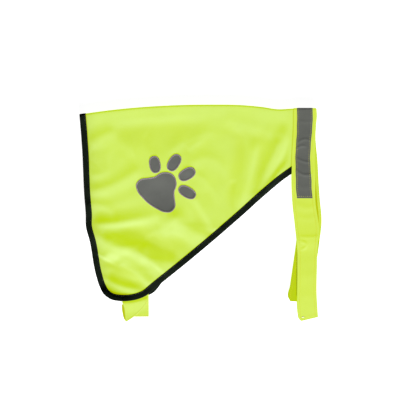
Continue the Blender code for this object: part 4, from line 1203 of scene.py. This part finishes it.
tackPlace = {"x": 168.6, "y": -170.9, "run": 3.6, "points": 7, "lift": 0.03}
tackX = tackPlace["x"] + np.linspace(-0.5, 0.5, tackPlace["points"]) * tackPlace["run"]
tackY = np.full(tackPlace["points"], tackPlace["y"])
tackZ = bandLevel("near", tackY) + bandCut["half"] + tackPlace["lift"]
tackPath = (together(tackX, tackY, tackZ), np.tile((0.0, 0.0, 1.0), (tackPlace["points"], 1)))
tackStitches = stitches("bandTack", [tackPath], finish["paleThread"],
                        Pitch=0.0005, Length=0.0021, Width=0.0005, Turn=pi / 2, Uneven=0.25, Seed=16)
print("stitches made")


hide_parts("cape")
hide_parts("binding")
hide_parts("neckband")
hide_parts("reflective_tape")
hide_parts("hook_strip")
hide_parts("belly_strap_far")
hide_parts("belly_strap_near")
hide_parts("paw_pad")
for number in range(1, len(pawToes) + 1):
    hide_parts(f"paw_toe_{number}")

pawAll = [*pawFills.values(), *pawRims.values(), *pawStitches.values()]
slots = {
    "fluorescent_knit": [cape],
    "black_binding": [binding, bindingStitches],
    "fluorescent_webbing": [neckband, farStrap, nearStrap,
                            bandStitches, tackStitches, tapeStitches, strapStitches],
    "reflective_grey": [tape, *pawAll],
    "hook_and_loop": [hookStrip],
}
for slot, pieces in slots.items():
    for piece in pieces:
        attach(piece, "root")

studio = {"world": 0.04, "key": 660.0, "keyPlace": (0.70, -3.98, 1.05), "keySize": 0.9,
          "floor": (0.6, 0.6, 0.6, 1.0), "floorGlow": 0.96, "floorReach": 6.0, "floorDrop": 0.0004}
white = (1.0, 1.0, 1.0, 1.0)
floorMaterial = newMaterial("paleFloor", 0.9, Base_Color=studio["floor"], Emission_Color=white,
                            Emission_Strength=studio["floorGlow"])[0]
floorMesh = bpy.data.meshes.new("studioFloor")
floorCorners = [(x * studio["floorReach"], y * studio["floorReach"], -studio["floorDrop"])
                for x, y in ((-1, -1), (1, -1), (1, 1), (-1, 1))]
floorMesh.from_pydata(floorCorners, [], [(0, 1, 2, 3)])
floorMesh.materials.append(floorMaterial)
inScene("studioFloor", floorMesh)

world = bpy.data.worlds.new("studio")
world.use_nodes = True
background = world.node_tree.nodes["Background"]
background.inputs["Color"].default_value = white
background.inputs["Strength"].default_value = studio["world"]
bpy.context.scene.world = world

lamp = bpy.data.lights.new("keySoftbox", "AREA")        # aimed at the origin
lamp.size, lamp.energy = studio["keySize"], studio["key"]
keyLight = inScene("keySoftbox", lamp)
keyLight.location = studio["keyPlace"]
keyLight.rotation_euler = Vector(studio["keyPlace"]).to_track_quat("Z", "Y").to_euler()

lens = {"focal": 90.0, "sensor": 36.0, "frame": 0.6864, "centre": (12.05, 8.66), "clothTop": 0.002}
cameraData = bpy.data.cameras.new("overhead")
cameraData.lens = lens["focal"]
cameraData.sensor_width = cameraData.sensor_height = lens["sensor"]
camera = inScene("overhead", cameraData)
camera.location = ((lens["centre"][0] + tableShift[0]) * mm, (lens["centre"][1] + tableShift[1]) * mm,
                   lens["frame"] * lens["focal"] / lens["sensor"] + lens["clothTop"])
bpy.context.scene.camera = camera
bpy.context.scene.view_settings.view_transform = "Standard"
bpy.context.scene.view_settings.look = "None"
